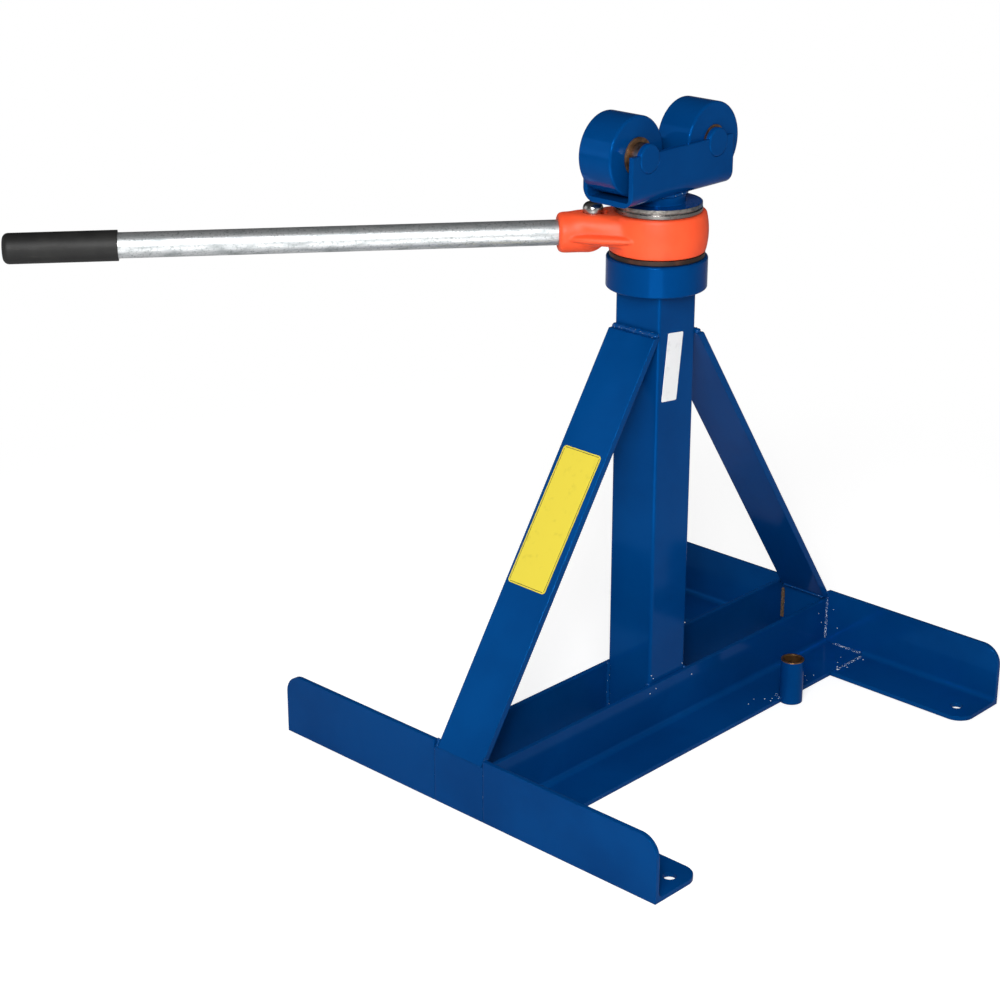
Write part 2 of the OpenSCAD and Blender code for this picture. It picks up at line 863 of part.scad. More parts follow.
module front_roller() { roller(-1); }
module rear_roller() { roller(1); }
module front_roller_bushes() { roller_bushes(-1); }
module rear_roller_bushes() { roller_bushes(1); }

beam_angle_right();
beam_angle_left();
front_foot_right();
front_foot_left();
rear_foot_right();
rear_foot_left();
front_end_plate();
rear_end_plate();
column_tube();
front_brace();
rear_brace();
tie_socket();
head_collar();
bearing_lower_race();
bearing_balls();
thrust_washer();
ratchet_wheel();
screw_nut();
nut_key();
retaining_ring();
rest_washer();
retainer_screws();
ratchet_housing();
handle_pipe();
handle_grip();
detent_ball();
detent_spring();
pawl_dog();
pawl_shaft();
pawl_knob();
jack_screw();
guide_block();
guide_pin();
saddle_disc();
saddle_channel();
front_axle();
rear_axle();
roller_washers();
front_roller();
front_roller_bushes();
rear_roller();
rear_roller_bushes();
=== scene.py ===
"""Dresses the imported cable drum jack.

The steel pieces of the frame keep their shapes and get enamel, zinc, bare steel, bronze and rubber
finishes. The script adds what the frame leaves out: weld beads and spatter, the thread of the jack
screw, the soft skin and the ribs of the casting, and two bare label plates.
"""
from __future__ import annotations

import logging
import math
from collections.abc import Iterable, Mapping
from dataclasses import dataclass
from enum import Enum
from typing import Any, Union

import bpy
from mathutils import Matrix, Vector

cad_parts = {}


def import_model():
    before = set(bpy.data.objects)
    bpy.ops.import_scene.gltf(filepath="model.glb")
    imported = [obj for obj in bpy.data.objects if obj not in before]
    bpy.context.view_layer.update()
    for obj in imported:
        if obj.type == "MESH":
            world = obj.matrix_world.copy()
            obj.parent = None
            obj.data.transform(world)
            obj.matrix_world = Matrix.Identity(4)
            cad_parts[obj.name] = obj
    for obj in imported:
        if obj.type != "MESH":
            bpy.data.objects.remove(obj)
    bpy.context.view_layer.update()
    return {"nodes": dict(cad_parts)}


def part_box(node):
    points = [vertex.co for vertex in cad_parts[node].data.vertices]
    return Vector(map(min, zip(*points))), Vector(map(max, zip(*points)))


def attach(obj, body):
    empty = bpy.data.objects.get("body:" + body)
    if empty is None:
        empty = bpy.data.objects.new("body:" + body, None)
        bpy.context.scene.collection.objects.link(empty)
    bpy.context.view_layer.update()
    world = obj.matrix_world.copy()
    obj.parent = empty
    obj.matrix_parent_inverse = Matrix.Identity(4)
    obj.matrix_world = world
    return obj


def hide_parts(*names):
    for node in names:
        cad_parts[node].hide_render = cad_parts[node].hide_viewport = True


LOG = logging.getLogger("drum_jack")
MM = 0.001

Colour = tuple[float, float, float]
Place = tuple[float, float, float]
Pair = tuple[float, float]
Number = Union[float, int, "Value"]


class Body(Enum):
    """The bodies of the frame that carry new pieces."""

    BASE = "base_frame"
    SCREW = "screw_saddle"
    HANDLE = "ratchet_handle"


class BareZone(Enum):
    """Where the enamel of a piece leaves its metal bare."""

    NONE = "nowhere"
    RIM = "outside a radius about Z"
    SHANK = "between two planes across X"
    MOUTH = "above a height and inside a bore"


class Value:
    """A number that changes over a surface, held as the socket that gives it."""

    def __init__(self, sheet: "NodeSheet", socket: bpy.types.NodeSocket) -> None:
        """Keeps the socket and the sheet that it belongs to.

        Args:
            sheet: The node sheet on which new nodes are made.
            socket: The output socket that gives the number.
        """
        self.sheet = sheet
        self.socket = socket

    def _math(self, operation: str, first: Number, second: Number = 0.0) -> "Value":
        """Adds one Math node.

        Args:
            operation: The operation of the Math node.
            first: The first operand.
            second: The second operand.

        Returns:
            The result of the operation.
        """
        made = self.sheet.node("ShaderNodeMath", {"operation": operation}, {0: first, 1: second})
        return Value(self.sheet, made.outputs[0])

    def __add__(self, other: Number) -> "Value":
        """Returns the sum."""
        return self._math("ADD", self, other)

    __radd__ = __add__

    def __sub__(self, other: Number) -> "Value":
        """Returns this minus the other."""
        return self._math("SUBTRACT", self, other)

    def __rsub__(self, other: Number) -> "Value":
        """Returns the other minus this."""
        return self._math("SUBTRACT", other, self)

    def __mul__(self, other: Number) -> "Value":
        """Returns the product."""
        return self._math("MULTIPLY", self, other)

    def at_least(self, other: Number) -> "Value":
        """Returns the larger of the two."""
        return self._math("MAXIMUM", self, other)

    def step(self, low: float, high: float) -> "Value":
        """Rises smoothly from 0 to 1.

        Args:
            low: The value up to which the result is 0.
            high: The value from which the result is 1.

        Returns:
            A value from 0 to 1.
        """
        made = self.sheet.node(
            "ShaderNodeMapRange",
            {"interpolation_type": "SMOOTHSTEP", "clamp": True},
            {"Value": self, "From Min": low, "From Max": high, "To Min": 0.0, "To Max": 1.0},
        )
        return Value(self.sheet, made.outputs["Result"])


class NodeSheet:
    """The node tree of one material or of the world."""

    def __init__(self, tree: bpy.types.NodeTree) -> None:
        """Starts with an empty tree.

        Args:
            tree: The node tree to fill.
        """
        self.tree = tree
        tree.nodes.clear()

    def node(
        self,
        kind: str,
        settings: Mapping[str, Any] | None = None,
        inputs: Mapping[str | int, Any] | None = None,
    ) -> bpy.types.Node:
        """Adds one node.

        Args:
            kind: The node's type.
            settings: Properties of the node, set first.
            inputs: Values or links of its sockets, by name or number.

        Returns:
            The new node.
        """
        made = self.tree.nodes.new(kind)
        for name, setting in (settings or {}).items():
            setattr(made, name, setting)
        for name, given in (inputs or {}).items():
            socket = made.inputs[name]
            if isinstance(given, Value):
                self.tree.links.new(given.socket, socket)
            elif isinstance(given, bpy.types.NodeSocket):
                self.tree.links.new(given, socket)
            elif isinstance(given, tuple) and len(given) == 3 and socket.type == "RGBA":
                socket.default_value = (*given, 1.0)
            else:
                socket.default_value = given
        return made

    def value(self, socket: bpy.types.NodeSocket) -> Value:
        """Wraps a socket as a number."""
        return Value(self, socket)

    def place(self, scale: Place = (1.0, 1.0, 1.0), turn_z: float = 0.0) -> bpy.types.NodeSocket:
        """Gives the place on the object, turned and stretched.

        Args:
            scale: Stretch along the turned axes.
            turn_z: Turn about Z, in radians.

        Returns:
            A vector socket.
        """
        where = self.node("ShaderNodeTexCoord").outputs["Object"]
        if scale == (1.0, 1.0, 1.0) and turn_z == 0.0:
            return where
        turned = self.node("ShaderNodeMapping", {}, {"Vector": where, "Rotation": (0.0, 0.0, turn_z)})
        sized = self.node("ShaderNodeMapping", {}, {"Vector": turned.outputs[0], "Scale": scale})
        return sized.outputs[0]

    def axes(self) -> Iterable[bpy.types.NodeSocket]:
        """Gives the X, Y and Z sockets of the place on the object."""
        return self.node("ShaderNodeSeparateXYZ", {}, {0: self.place()}).outputs

    def noise(self, scale: float, detail: float = 3.0, where: bpy.types.NodeSocket | None = None) -> Value:
        """Gives soft random clouds.

        Args:
            scale: Clouds per metre.
            detail: Octaves of the noise.
            where: The place to read at, or the place on the object.

        Returns:
            A value of about 0.3 to 0.7.
        """
        made = self.node(
            "ShaderNodeTexNoise",
            {},
            {"Vector": where or self.place(), "Scale": scale, "Detail": detail, "Roughness": 0.55},
        )
        return self.value(made.outputs[0])

    def cells(self, scale: float, where: bpy.types.NodeSocket | None = None) -> bpy.types.Node:
        """Gives random cells.

        Args:
            scale: Cells per metre.
            where: The place to read at, or the place on the object.

        Returns:
            The Voronoi node.
        """
        return self.node("ShaderNodeTexVoronoi", {}, {"Vector": where or self.place(), "Scale": scale})

    def mix(self, amount: Number, first: Any, second: Any) -> bpy.types.NodeSocket:
        """Blends two colours.

        Args:
            amount: 0 gives the first colour, 1 the second.
            first: A colour or a colour socket.
            second: A colour or a colour socket.

        Returns:
            A colour socket.
        """
        made = self.node("ShaderNodeMix", {"data_type": "RGBA"}, {0: amount, 6: first, 7: second})
        return made.outputs[2]

    def edge(self, radius: float) -> tuple[Value, bpy.types.NodeSocket]:
        """Finds the edges of a piece.

        Args:
            radius: Radius to which edges look rounded, in metres.

        Returns:
            A value that is 0 on flat faces and rises at edges, and the rounded normal.
        """
        soft = self.node("ShaderNodeBevel", {"samples": 4}, {"Radius": radius}).outputs[0]
        true = self.node("ShaderNodeNewGeometry").outputs["True Normal"]
        dot = self.node("ShaderNodeVectorMath", {"operation": "DOT_PRODUCT"}, {0: soft, 1: true})
        return 1.0 - self.value(dot.outputs["Value"]), soft

    def bump(self, height: Value, strength: float, depth: float, normal: Any = None) -> bpy.types.NodeSocket:
        """Raises and lowers the surface in its shading.

        Args:
            height: The height.
            strength: Strength of the bump.
            depth: Depth of the bump, in metres.
            normal: A normal to start from, or none.

        Returns:
            A normal socket.
        """
        inputs: dict[str | int, Any] = {"Height": height, "Strength": strength, "Distance": depth}
        if normal is not None:
            inputs["Normal"] = normal
        return self.node("ShaderNodeBump", {}, inputs).outputs[0]

    def finish(self, **sockets: Any) -> None:
        """Adds the surface shader and the output.

        Args:
            **sockets: Inputs of the shader, with _ for a space in their names.
        """
        inputs = {name.replace("_", " "): given for name, given in sockets.items()}
        surface = self.node("ShaderNodeBsdfPrincipled", {}, inputs)
        self.node("ShaderNodeOutputMaterial", {}, {"Surface": surface.outputs[0]})


@dataclass(frozen=True)
class Finish:
    """A surface finish, made once and shared by the pieces that have it."""

    name: str
    slot: str

    def make(self) -> bpy.types.Material:
        """Builds the material.

        Returns:
            The new material.
        """
        material = bpy.data.materials.new(self.name)
        material.use_nodes = True
        self.draw(NodeSheet(material.node_tree))
        return material

    def draw(self, sheet: NodeSheet) -> None:
        """Fills the material's node sheet.

        Args:
            sheet: The empty node sheet.
        """
        raise NotImplementedError


@dataclass(frozen=True)
class BlueEnamel(Finish):
    """Deep blue gloss enamel over welded steel, bare in one zone where the piece is turned or scuffed."""

    zone: BareZone = BareZone.NONE
    limit: float = 0.0
    metal: Colour = (0.42, 0.40, 0.37)
    colour: Colour = (0.0004, 0.061, 0.245)
    shade: Colour = (0.0003, 0.050, 0.208)
    # Paler blue of the edges: partly wear, partly a painted highlight.
    worn_and_highlight: Colour = (0.006, 0.105, 0.340)
    flake: float = 0.20
    edge_radius: float = 0.0022
    bore: tuple[float, float, float] = (0.0, 0.0, 0.0)
    border: float = 0.0004
    stain: float = 0.4

    def bare(self, sheet: NodeSheet) -> Value | None:
        """Finds where the enamel leaves the metal bare.

        Args:
            sheet: The node sheet.

        Returns:
            A value that is 1 on bare metal, or none where all of the piece is painted.
        """
        if self.zone is BareZone.NONE:
            return None
        x, y, z = (sheet.value(socket) for socket in sheet.axes())
        soft = self.border
        reach, spread = self.limit**2, 0.1 * soft
        if self.zone is BareZone.RIM:
            return (x * x + y * y).step(reach - spread, reach + spread)
        if self.zone is BareZone.SHANK:
            return 1.0 - (x * x).step(reach - spread, reach + spread)
        bore_x, bore_y, radius = self.bore
        off_x, off_y = x - bore_x, y - bore_y
        inside = 1.0 - (off_x * off_x + off_y * off_y).step(radius**2, (radius + soft) ** 2)
        return z.step(self.limit - soft, self.limit + soft).at_least(inside)

    def draw(self, sheet: NodeSheet) -> None:
        """Fills the node sheet with clouded blue, paler edges that are partly wear and partly a painted
        highlight, an even gloss and bare metal.
        """
        clouds = sheet.noise(5.0, 4.0)
        fine = sheet.noise(55.0, 4.0)
        edge, soft = sheet.edge(self.edge_radius)
        # Paler blue along the edges, broken by noise: partly edge wear, partly a painted highlight on the
        # rounded edges.
        rubbed_and_highlit = edge.step(0.02, 0.25) * fine.step(0.35, 0.70)
        blue = sheet.mix(clouds.step(0.38, 0.62), self.colour, self.shade)
        base = sheet.mix(rubbed_and_highlit * 0.5, blue, self.worn_and_highlight)
        peel = sheet.noise(240.0, 2.0)
        runs = sheet.noise(7.0, 2.0, sheet.place((1.0, 1.0, 0.35)))
        gloss = 0.06 + fine * 0.05 + clouds * 0.04
        sockets: dict[str, Any] = {"Base_Color": base, "Roughness": gloss, "Metallic": self.flake}
        bare = self.bare(sheet)
        if bare is not None:
            stains = sheet.noise(120.0, 4.0)
            stained = tuple(channel * self.stain for channel in self.metal)
            metal = sheet.mix(stains.step(0.42, 0.68), self.metal, stained)
            sockets["Base_Color"] = sheet.mix(bare, base, metal)
            sockets["Roughness"] = gloss + bare * (0.14 + stains * 0.16)
            sockets["Metallic"] = self.flake + bare * (0.9 - self.flake)
        sheet.finish(
            **sockets,
            Normal=sheet.bump(peel * 0.12 + runs, 0.20, 0.0007, soft),
            Specular_IOR_Level=0.15,
            Specular_Tint=(0.05, 0.36, 0.95, 1.0),
        )


@dataclass(frozen=True)
class OrangeCasting(Finish):
    """Orange paint over a rough sand casting."""

    colour: Colour = (1.000, 0.101, 0.026)
    shade: Colour = (0.970, 0.080, 0.018)

    def draw(self, sheet: NodeSheet) -> None:
        """Fills the node sheet with clouded orange on a grainy cast skin, with a painted highlight along the
        edges.
        """
        clouds = sheet.noise(16.0, 3.0)
        grain = sheet.noise(210.0, 4.0)
        lumps = sheet.noise(38.0, 2.0)
        edge, soft = sheet.edge(0.003)
        base = sheet.mix(clouds.step(0.35, 0.65), self.colour, self.shade)
        # Paler orange along the edges: a painted highlight.
        base = sheet.mix(edge.step(0.05, 0.4) * 0.25, base, (1.0, 0.20, 0.07))
        sheet.finish(
            Base_Color=base,
            Roughness=0.40 + grain * 0.14,
            Normal=sheet.bump(grain * 0.35 + lumps, 0.35, 0.0012, soft),
            Specular_IOR_Level=0.40,
        )


@dataclass(frozen=True)
class GalvanisedZinc(Finish):
    """Hot-dip zinc on pipe: a mottled spangle with dull patches and drawn streaks."""

    along: float = 0.0

    def draw(self, sheet: NodeSheet) -> None:
        """Fills the node sheet with spangle cells, patches and streaks along the pipe."""
        drawn = sheet.place((0.28, 1.0, 1.0), -self.along)
        spangle = sheet.value(sheet.cells(150.0, drawn).outputs["Distance"])
        patches = sheet.noise(60.0, 5.0, drawn)
        specks = sheet.noise(330.0, 4.0)
        dull = (patches * 0.75 + spangle * 0.35).step(0.42, 0.78)
        base = sheet.mix(dull, (0.80, 0.82, 0.83), (0.45, 0.48, 0.49))
        base = sheet.mix(specks.step(0.50, 0.70) * 0.60, base, (0.27, 0.31, 0.31))
        sheet.finish(
            Base_Color=base,
            Metallic=0.85,
            Roughness=0.36 + dull * 0.16,
            Normal=sheet.bump(patches * 0.2 + specks * 0.7, 0.30, 0.0006),
        )


@dataclass(frozen=True)
class TurnedSteel(Finish):
    """Bare steel as it left the lathe, with fine rings and a first bloom of rust."""

    colour: Colour = (0.40, 0.41, 0.42)
    rust: Colour = (0.16, 0.095, 0.055)
    rusted: float = 0.35
    dullness: float = 0.36

    def draw(self, sheet: NodeSheet) -> None:
        """Fills the node sheet with fine rings and brown bloom."""
        bloom = sheet.noise(42.0, 5.0)
        rings = sheet.noise(900.0, 2.0, sheet.place((0.05, 0.05, 1.0)))
        brown = bloom.step(0.62 - 0.2 * self.rusted, 0.82 - 0.2 * self.rusted) * self.rusted
        edge, soft = sheet.edge(0.0012)
        base = sheet.mix(brown, self.colour, self.rust)
        base = sheet.mix(edge.step(0.03, 0.3) * 0.5, base, (0.62, 0.60, 0.57))
        sheet.finish(
            Base_Color=base,
            Metallic=1.0 - brown * 0.45,
            Roughness=self.dullness + rings * 0.10 + brown * 0.20,
            Normal=sheet.bump(rings + bloom * 0.3, 0.12, 0.0003, soft),
        )


@dataclass(frozen=True)
class OiledSteel(Finish):
    """Dark steel with a film of old oil and brown smears."""

    colour: Colour = (0.045, 0.027, 0.021)
    smear: Colour = (0.130, 0.050, 0.034)

    def draw(self, sheet: NodeSheet) -> None:
        """Fills the node sheet with dark oil and brown smears."""
        smears = sheet.noise(30.0, 5.0)
        grain = sheet.noise(320.0, 3.0)
        _, soft = sheet.edge(0.001)
        sheet.finish(
            Base_Color=sheet.mix(smears.step(0.48, 0.70), self.colour, self.smear),
            Metallic=0.55,
            Roughness=0.34 + grain * 0.2,
            Normal=sheet.bump(grain, 0.3, 0.0004, soft),
        )


@dataclass(frozen=True)
class BrownMetal(Finish):
    """Dull bronze or bare steel that has turned brown."""

    colour: Colour = (0.230, 0.125, 0.060)
    stain: Colour = (0.075, 0.042, 0.026)

    def draw(self, sheet: NodeSheet) -> None:
        """Fills the node sheet with stained brown metal."""
        stains = sheet.noise(70.0, 4.0)
        grain = sheet.noise(500.0, 3.0)
        _, soft = sheet.edge(0.0008)
        sheet.finish(
            Base_Color=sheet.mix(stains.step(0.40, 0.66), self.colour, self.stain),
            Metallic=0.65,
            Roughness=0.36 + grain * 0.2,
            Normal=sheet.bump(grain + stains * 0.5, 0.3, 0.0004, soft),
        )


@dataclass(frozen=True)
class BlackRubber(Finish):
    """Dipped black grip with scuffs along its length."""

    along: float = 0.0

    def draw(self, sheet: NodeSheet) -> None:
        """Fills the node sheet with matte black, grey scuffs and a fine grain."""
        drawn = sheet.place((0.16, 1.0, 1.0), -self.along)
        scuffs = sheet.noise(230.0, 5.0, drawn).step(0.60, 0.78)
        dust = sheet.noise(24.0, 4.0)
        grain = sheet.noise(700.0, 2.0)
        base = sheet.mix(dust.step(0.35, 0.7), (0.011, 0.011, 0.011), (0.018, 0.018, 0.017))
        base = sheet.mix(scuffs * 0.4, base, (0.066, 0.064, 0.060))
        sheet.finish(
            Base_Color=base,
            Roughness=0.50 + grain * 0.12 + scuffs * 0.15,
            Normal=sheet.bump(grain * 0.5 + scuffs, 0.30, 0.0006),
            Specular_IOR_Level=0.4,
        )


@dataclass(frozen=True)
class WeldPaint(Finish):
    """Enamel over a weld bead, thin on the ripples so that brown metal shows through, with pale specks that
    are painted glints.
    """

    bare: float = 0.2
    painted_glints: float = 0.20

    def draw(self, sheet: NodeSheet) -> None:
        """Fills the node sheet with blue enamel broken by brown patches and by pale specks that are painted
        glints.
        """
        patches = sheet.noise(95.0, 4.0)
        fine = sheet.noise(420.0, 3.0)
        brown = patches.step(0.72 - 0.45 * self.bare, 0.80 - 0.40 * self.bare)
        blue = sheet.mix(fine.step(0.3, 0.7), (0.0003, 0.054, 0.215), (0.0002, 0.042, 0.175))
        rust = sheet.mix(fine.step(0.35, 0.65), (0.190, 0.100, 0.042), (0.070, 0.060, 0.035))
        # Pale specks along the bead: painted glints, more of them as their share rises.
        specks = sheet.noise(620.0, 2.0).step(0.72 - 0.25 * self.painted_glints, 0.78 - 0.25 * self.painted_glints)
        sheet.finish(
            Base_Color=sheet.mix(specks, sheet.mix(brown, blue, rust), (0.70, 0.77, 0.84)),
            Roughness=0.10 + brown * 0.35,
            Normal=sheet.bump(fine, 0.25, 0.0004),
            Specular_IOR_Level=0.5,
            Specular_Tint=(0.15, 0.45, 1.0, 1.0),
            Coat_Weight=0.20,
            Coat_Roughness=0.05,
        )


@dataclass(frozen=True)
class LabelVinyl(Finish):
    """Blank vinyl of one colour, with faint scuffs and a slightly wavy face."""

    colour: Colour = (0.78, 0.64, 0.050)
    dirt: float = 0.72

    def draw(self, sheet: NodeSheet) -> None:
        """Fills the node sheet with the vinyl's colour, scuffs and waves."""
        scuffs = sheet.noise(85.0, 5.0).step(0.56, 0.75)
        waves = sheet.noise(22.0, 2.0)
        dirty = tuple(channel * self.dirt for channel in self.colour)
        sheet.finish(
            Base_Color=sheet.mix(scuffs * 0.35, self.colour, dirty),
            Roughness=0.34 + scuffs * 0.2,
            Normal=sheet.bump(waves, 0.3, 0.0010),
            Specular_IOR_Level=0.4,
        )


class Paint:
    """Makes each finish once and puts it on pieces."""

    def __init__(self) -> None:
        """Starts with no materials."""
        self.made: dict[str, bpy.types.Material] = {}

    def material(self, finish: Finish) -> bpy.types.Material:
        """Gives the material of a finish, and makes it when it is first asked for.

        Args:
            finish: The finish.

        Returns:
            Its material.
        """
        if finish.name not in self.made:
            self.made[finish.name] = finish.make()
        return self.made[finish.name]

    def coat(self, piece: bpy.types.Object, finish: Finish) -> None:
        """Puts a finish on every material slot of a piece.

        Args:
            piece: A CAD node or a new piece.
            finish: The finish.
        """
        material = self.material(finish)
        if not piece.material_slots:
            piece.data.materials.append(material)
        for slot in piece.material_slots:
            slot.material = material


HANDLE_ANGLE = math.radians(230.2)
BLUE = BlueEnamel("blue_enamel", "blue_enamel")
BLUE_DISC = BlueEnamel("disc_enamel", "blue_enamel", BareZone.RIM, limit=0.0572)
BLUE_AXLE = BlueEnamel("axle_enamel", "blue_enamel", BareZone.SHANK, limit=0.0352, metal=(0.26, 0.17, 0.11))
BLUE_SOCKET = BlueEnamel(
    "socket_enamel", "blue_enamel", BareZone.MOUTH, limit=0.0648, metal=(0.42, 0.22, 0.09),
    bore=(0.1201, 0.184, 0.0142),
)
ORANGE = OrangeCasting("orange_casting", "orange_enamel")
ZINC = GalvanisedZinc("galvanised_zinc", "galvanised", HANDLE_ANGLE)
BRIGHT = TurnedSteel("turned_steel", "bare_steel")
RING = TurnedSteel(
    "ring_steel", "bare_steel", (0.34, 0.325, 0.31), (0.13, 0.075, 0.045), rusted=0.6, dullness=0.20
)
KNOB = TurnedSteel(
    "knob_steel", "bare_steel", (0.55, 0.54, 0.52), (0.20, 0.14, 0.10), rusted=0.15, dullness=0.16
)
DARK = OiledSteel("oiled_steel", "dark_steel")
BROWN = BrownMetal("brown_metal", "bronze")
RUBBER = BlackRubber("black_rubber", "black_rubber", HANDLE_ANGLE)
BEAD = WeldPaint("weld_paint", "blue_enamel", bare=0.12)
# Beads with many pale specks: painted glints where the welds catch the light.
GLINT_BEAD = WeldPaint("glint_painted_weld", "blue_enamel", bare=0.10, painted_glints=0.72)
BARE_BEAD = WeldPaint("bare_weld", "blue_enamel", bare=1.05, painted_glints=0.15)
# Spatter drops in a pale colour: painted glints.
SPATTER = WeldPaint("weld_spatter", "blue_enamel", bare=0.0, painted_glints=1.40)
YELLOW = LabelVinyl("yellow_vinyl", "blue_enamel")
BORDER = LabelVinyl("border_ink", "blue_enamel", (0.02, 0.02, 0.02))
WHITE = LabelVinyl("white_vinyl", "blue_enamel", (0.95, 0.955, 0.965))

NODE_FINISHES: dict[Finish, tuple[str, ...]] = {
    BLUE: (
        "beam_angle_right", "beam_angle_left", "front_foot_right", "front_foot_left",
        "rear_foot_right", "rear_foot_left", "front_end_plate", "rear_end_plate", "column_tube",
        "front_brace", "rear_brace", "head_collar", "saddle_channel", "front_roller", "rear_roller",
    ),
    BLUE_DISC: ("saddle_disc",),
    BLUE_AXLE: ("front_axle", "rear_axle"),
    BLUE_SOCKET: ("tie_socket",),
    ORANGE: ("ratchet_housing",),
    ZINC: ("handle_pipe",),
    RUBBER: ("handle_grip",),
    BRIGHT: (
        "bearing_lower_race", "bearing_balls", "nut_key",
        "detent_ball", "detent_spring", "pawl_shaft", "jack_screw", "guide_pin",
    ),
    RING: ("retaining_ring", "rest_washer"),
    KNOB: ("pawl_knob",),
    DARK: ("thrust_washer", "ratchet_wheel", "retainer_screws", "pawl_dog", "guide_block"),
    BROWN: ("screw_nut", "roller_washers", "front_roller_bushes", "rear_roller_bushes"),
}


class Bench:
    """The modelling steps that the sub-assemblies share (sizes in metres)."""

    lump_size = 0.006

    @staticmethod
    def clear_selection() -> None:
        """Deselects everything, in object mode."""
        if bpy.context.object and bpy.context.object.mode != "OBJECT":
            bpy.ops.object.mode_set(mode="OBJECT")
        bpy.ops.object.select_all(action="DESELECT")

    @staticmethod
    def take(piece: bpy.types.Object, *others: bpy.types.Object) -> None:
        """Selects pieces and nothing else.

        Args:
            piece: The piece that becomes the active one.
            *others: More pieces to select.
        """
        Bench.clear_selection()
        for each in (piece, *others):
            each.select_set(True)
        bpy.context.view_layer.objects.active = piece

    @staticmethod
    def open_mesh(piece: bpy.types.Object) -> None:
        """Takes a piece into edit mode with all of its mesh selected.

        Args:
            piece: The piece.
        """
        Bench.take(piece)
        bpy.ops.object.mode_set(mode="EDIT")
        bpy.ops.mesh.select_all(action="SELECT")

    @staticmethod
    def apply(piece: bpy.types.Object, kind: str, **settings: Any) -> None:
        """Adds one modifier and applies it.

        Args:
            piece: The piece.
            kind: The modifier's type.
            **settings: The modifier's properties.
        """
        Bench.take(piece)
        modifier = piece.modifiers.new(kind.lower(), kind)
        for name, setting in settings.items():
            setattr(modifier, name, setting)
        bpy.ops.object.modifier_apply(modifier=modifier.name)

    @staticmethod
    def freeze(piece: bpy.types.Object) -> None:
        """Puts a piece's place, turn and scale into its mesh.

        Args:
            piece: The piece.
        """
        Bench.take(piece)
        bpy.ops.object.transform_apply(location=True, rotation=True, scale=True)

    @staticmethod
    def join(piece: bpy.types.Object, others: Iterable[bpy.types.Object]) -> None:
        """Joins pieces into one.

        Args:
            piece: The piece that takes the others in.
            others: The other pieces.
        """
        Bench.take(piece, *others)
        bpy.ops.object.join()

    @staticmethod
    def fuse(piece: bpy.types.Object, grain: float) -> None:
        """Gives a piece one closed skin.

        Args:
            piece: The piece.
            grain: Side of the skin's faces.
        """
        Bench.apply(piece, "REMESH", mode="VOXEL", voxel_size=grain, use_smooth_shade=True)

    @staticmethod
    def smooth(piece: bpy.types.Object, passes: int, members: list[int] | None = None) -> None:
        """Smooths a piece.

        Args:
            piece: The piece.
            passes: How often it is smoothed.
            members: Numbers of the vertices that move, or none for all of them.
        """
        group = ""
        if members is not None:
            group = "smoothed"
            piece.vertex_groups.new(name=group).add(members, 1.0, "ADD")
        Bench.apply(piece, "SMOOTH", factor=0.5, iterations=passes, vertex_group=group)
        piece.vertex_groups.clear()

    @staticmethod
    def roughen(piece: bpy.types.Object, depth: float) -> None:
        """Makes the skin of weld metal uneven with soft lumps.

        Args:
            piece: The piece.
            depth: From the deepest hollow to the highest lump.
        """
        lumps = bpy.data.textures.get("weld_lumps")
        if lumps is None:
            lumps = bpy.data.textures.new("weld_lumps", "CLOUDS")
            lumps.noise_scale = Bench.lump_size
        Bench.apply(piece, "DISPLACE", texture=lumps, texture_coords="GLOBAL", strength=depth, mid_level=0.5)

    @staticmethod
    def settle(piece: bpy.types.Object, name: str, body: Body, finish: Finish, paint: Paint) -> None:
        """Puts a finished piece's place in its mesh, coats it and sets it on its body.

        Args:
            piece: The piece.
            name: Its name.
            body: The body that carries it.
            finish: Its finish.
            paint: The store of materials.
        """
        Bench.freeze(piece)
        piece.name = name
        piece.data.name = name
        paint.coat(piece, finish)
        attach(piece, body.value)
        LOG.info("%s rides on %s", name, body.value)


@dataclass
class WeldBead:
    """One weld bead between two points: overlapping ripples, fused to one skin.

    Places and the radius are in mm. The pitch of the ripples, their thickness, the grain of the skin and
    the depth of its lumps are shares of the radius.
    """

    name: str
    start: Place
    end: Place
    radius: float = 3.6
    finish: Finish = BEAD
    body: Body = Body.BASE
    pitch: float = 0.85
    thickness: float = 0.72
    lean: float = 18.0
    grain: float = 0.26
    lumps: float = 0.5
    passes: int = 2

    def build(self, paint: Paint) -> None:
        """Models the bead.

        Args:
            paint: The store of materials.
        """
        start, end = Vector(self.start) * MM, Vector(self.end) * MM
        radius = self.radius * MM
        run = end - start
        count = max(2, round(run.length / (radius * self.pitch)) + 1)
        Bench.clear_selection()
        bpy.ops.mesh.primitive_uv_sphere_add(segments=12, ring_count=8, radius=radius)
        piece = bpy.context.object
        Bench.open_mesh(piece)
        bpy.ops.transform.resize(value=(1.0, 1.0, self.thickness))
        bpy.ops.object.mode_set(mode="OBJECT")
        lean = Matrix.Rotation(math.radians(self.lean), 4, "X")
        turn = run.to_track_quat("Z", "Y").to_matrix().to_4x4()
        piece.matrix_world = Matrix.Translation(start) @ turn @ lean
        Bench.freeze(piece)
        Bench.apply(
            piece, "ARRAY", count=count, use_relative_offset=False, use_constant_offset=True,
            constant_offset_displace=run / (count - 1),
        )
        Bench.fuse(piece, radius * self.grain)
        Bench.smooth(piece, self.passes)
        Bench.roughen(piece, radius * self.lumps)
        Bench.settle(piece, self.name, self.body, self.finish, paint)


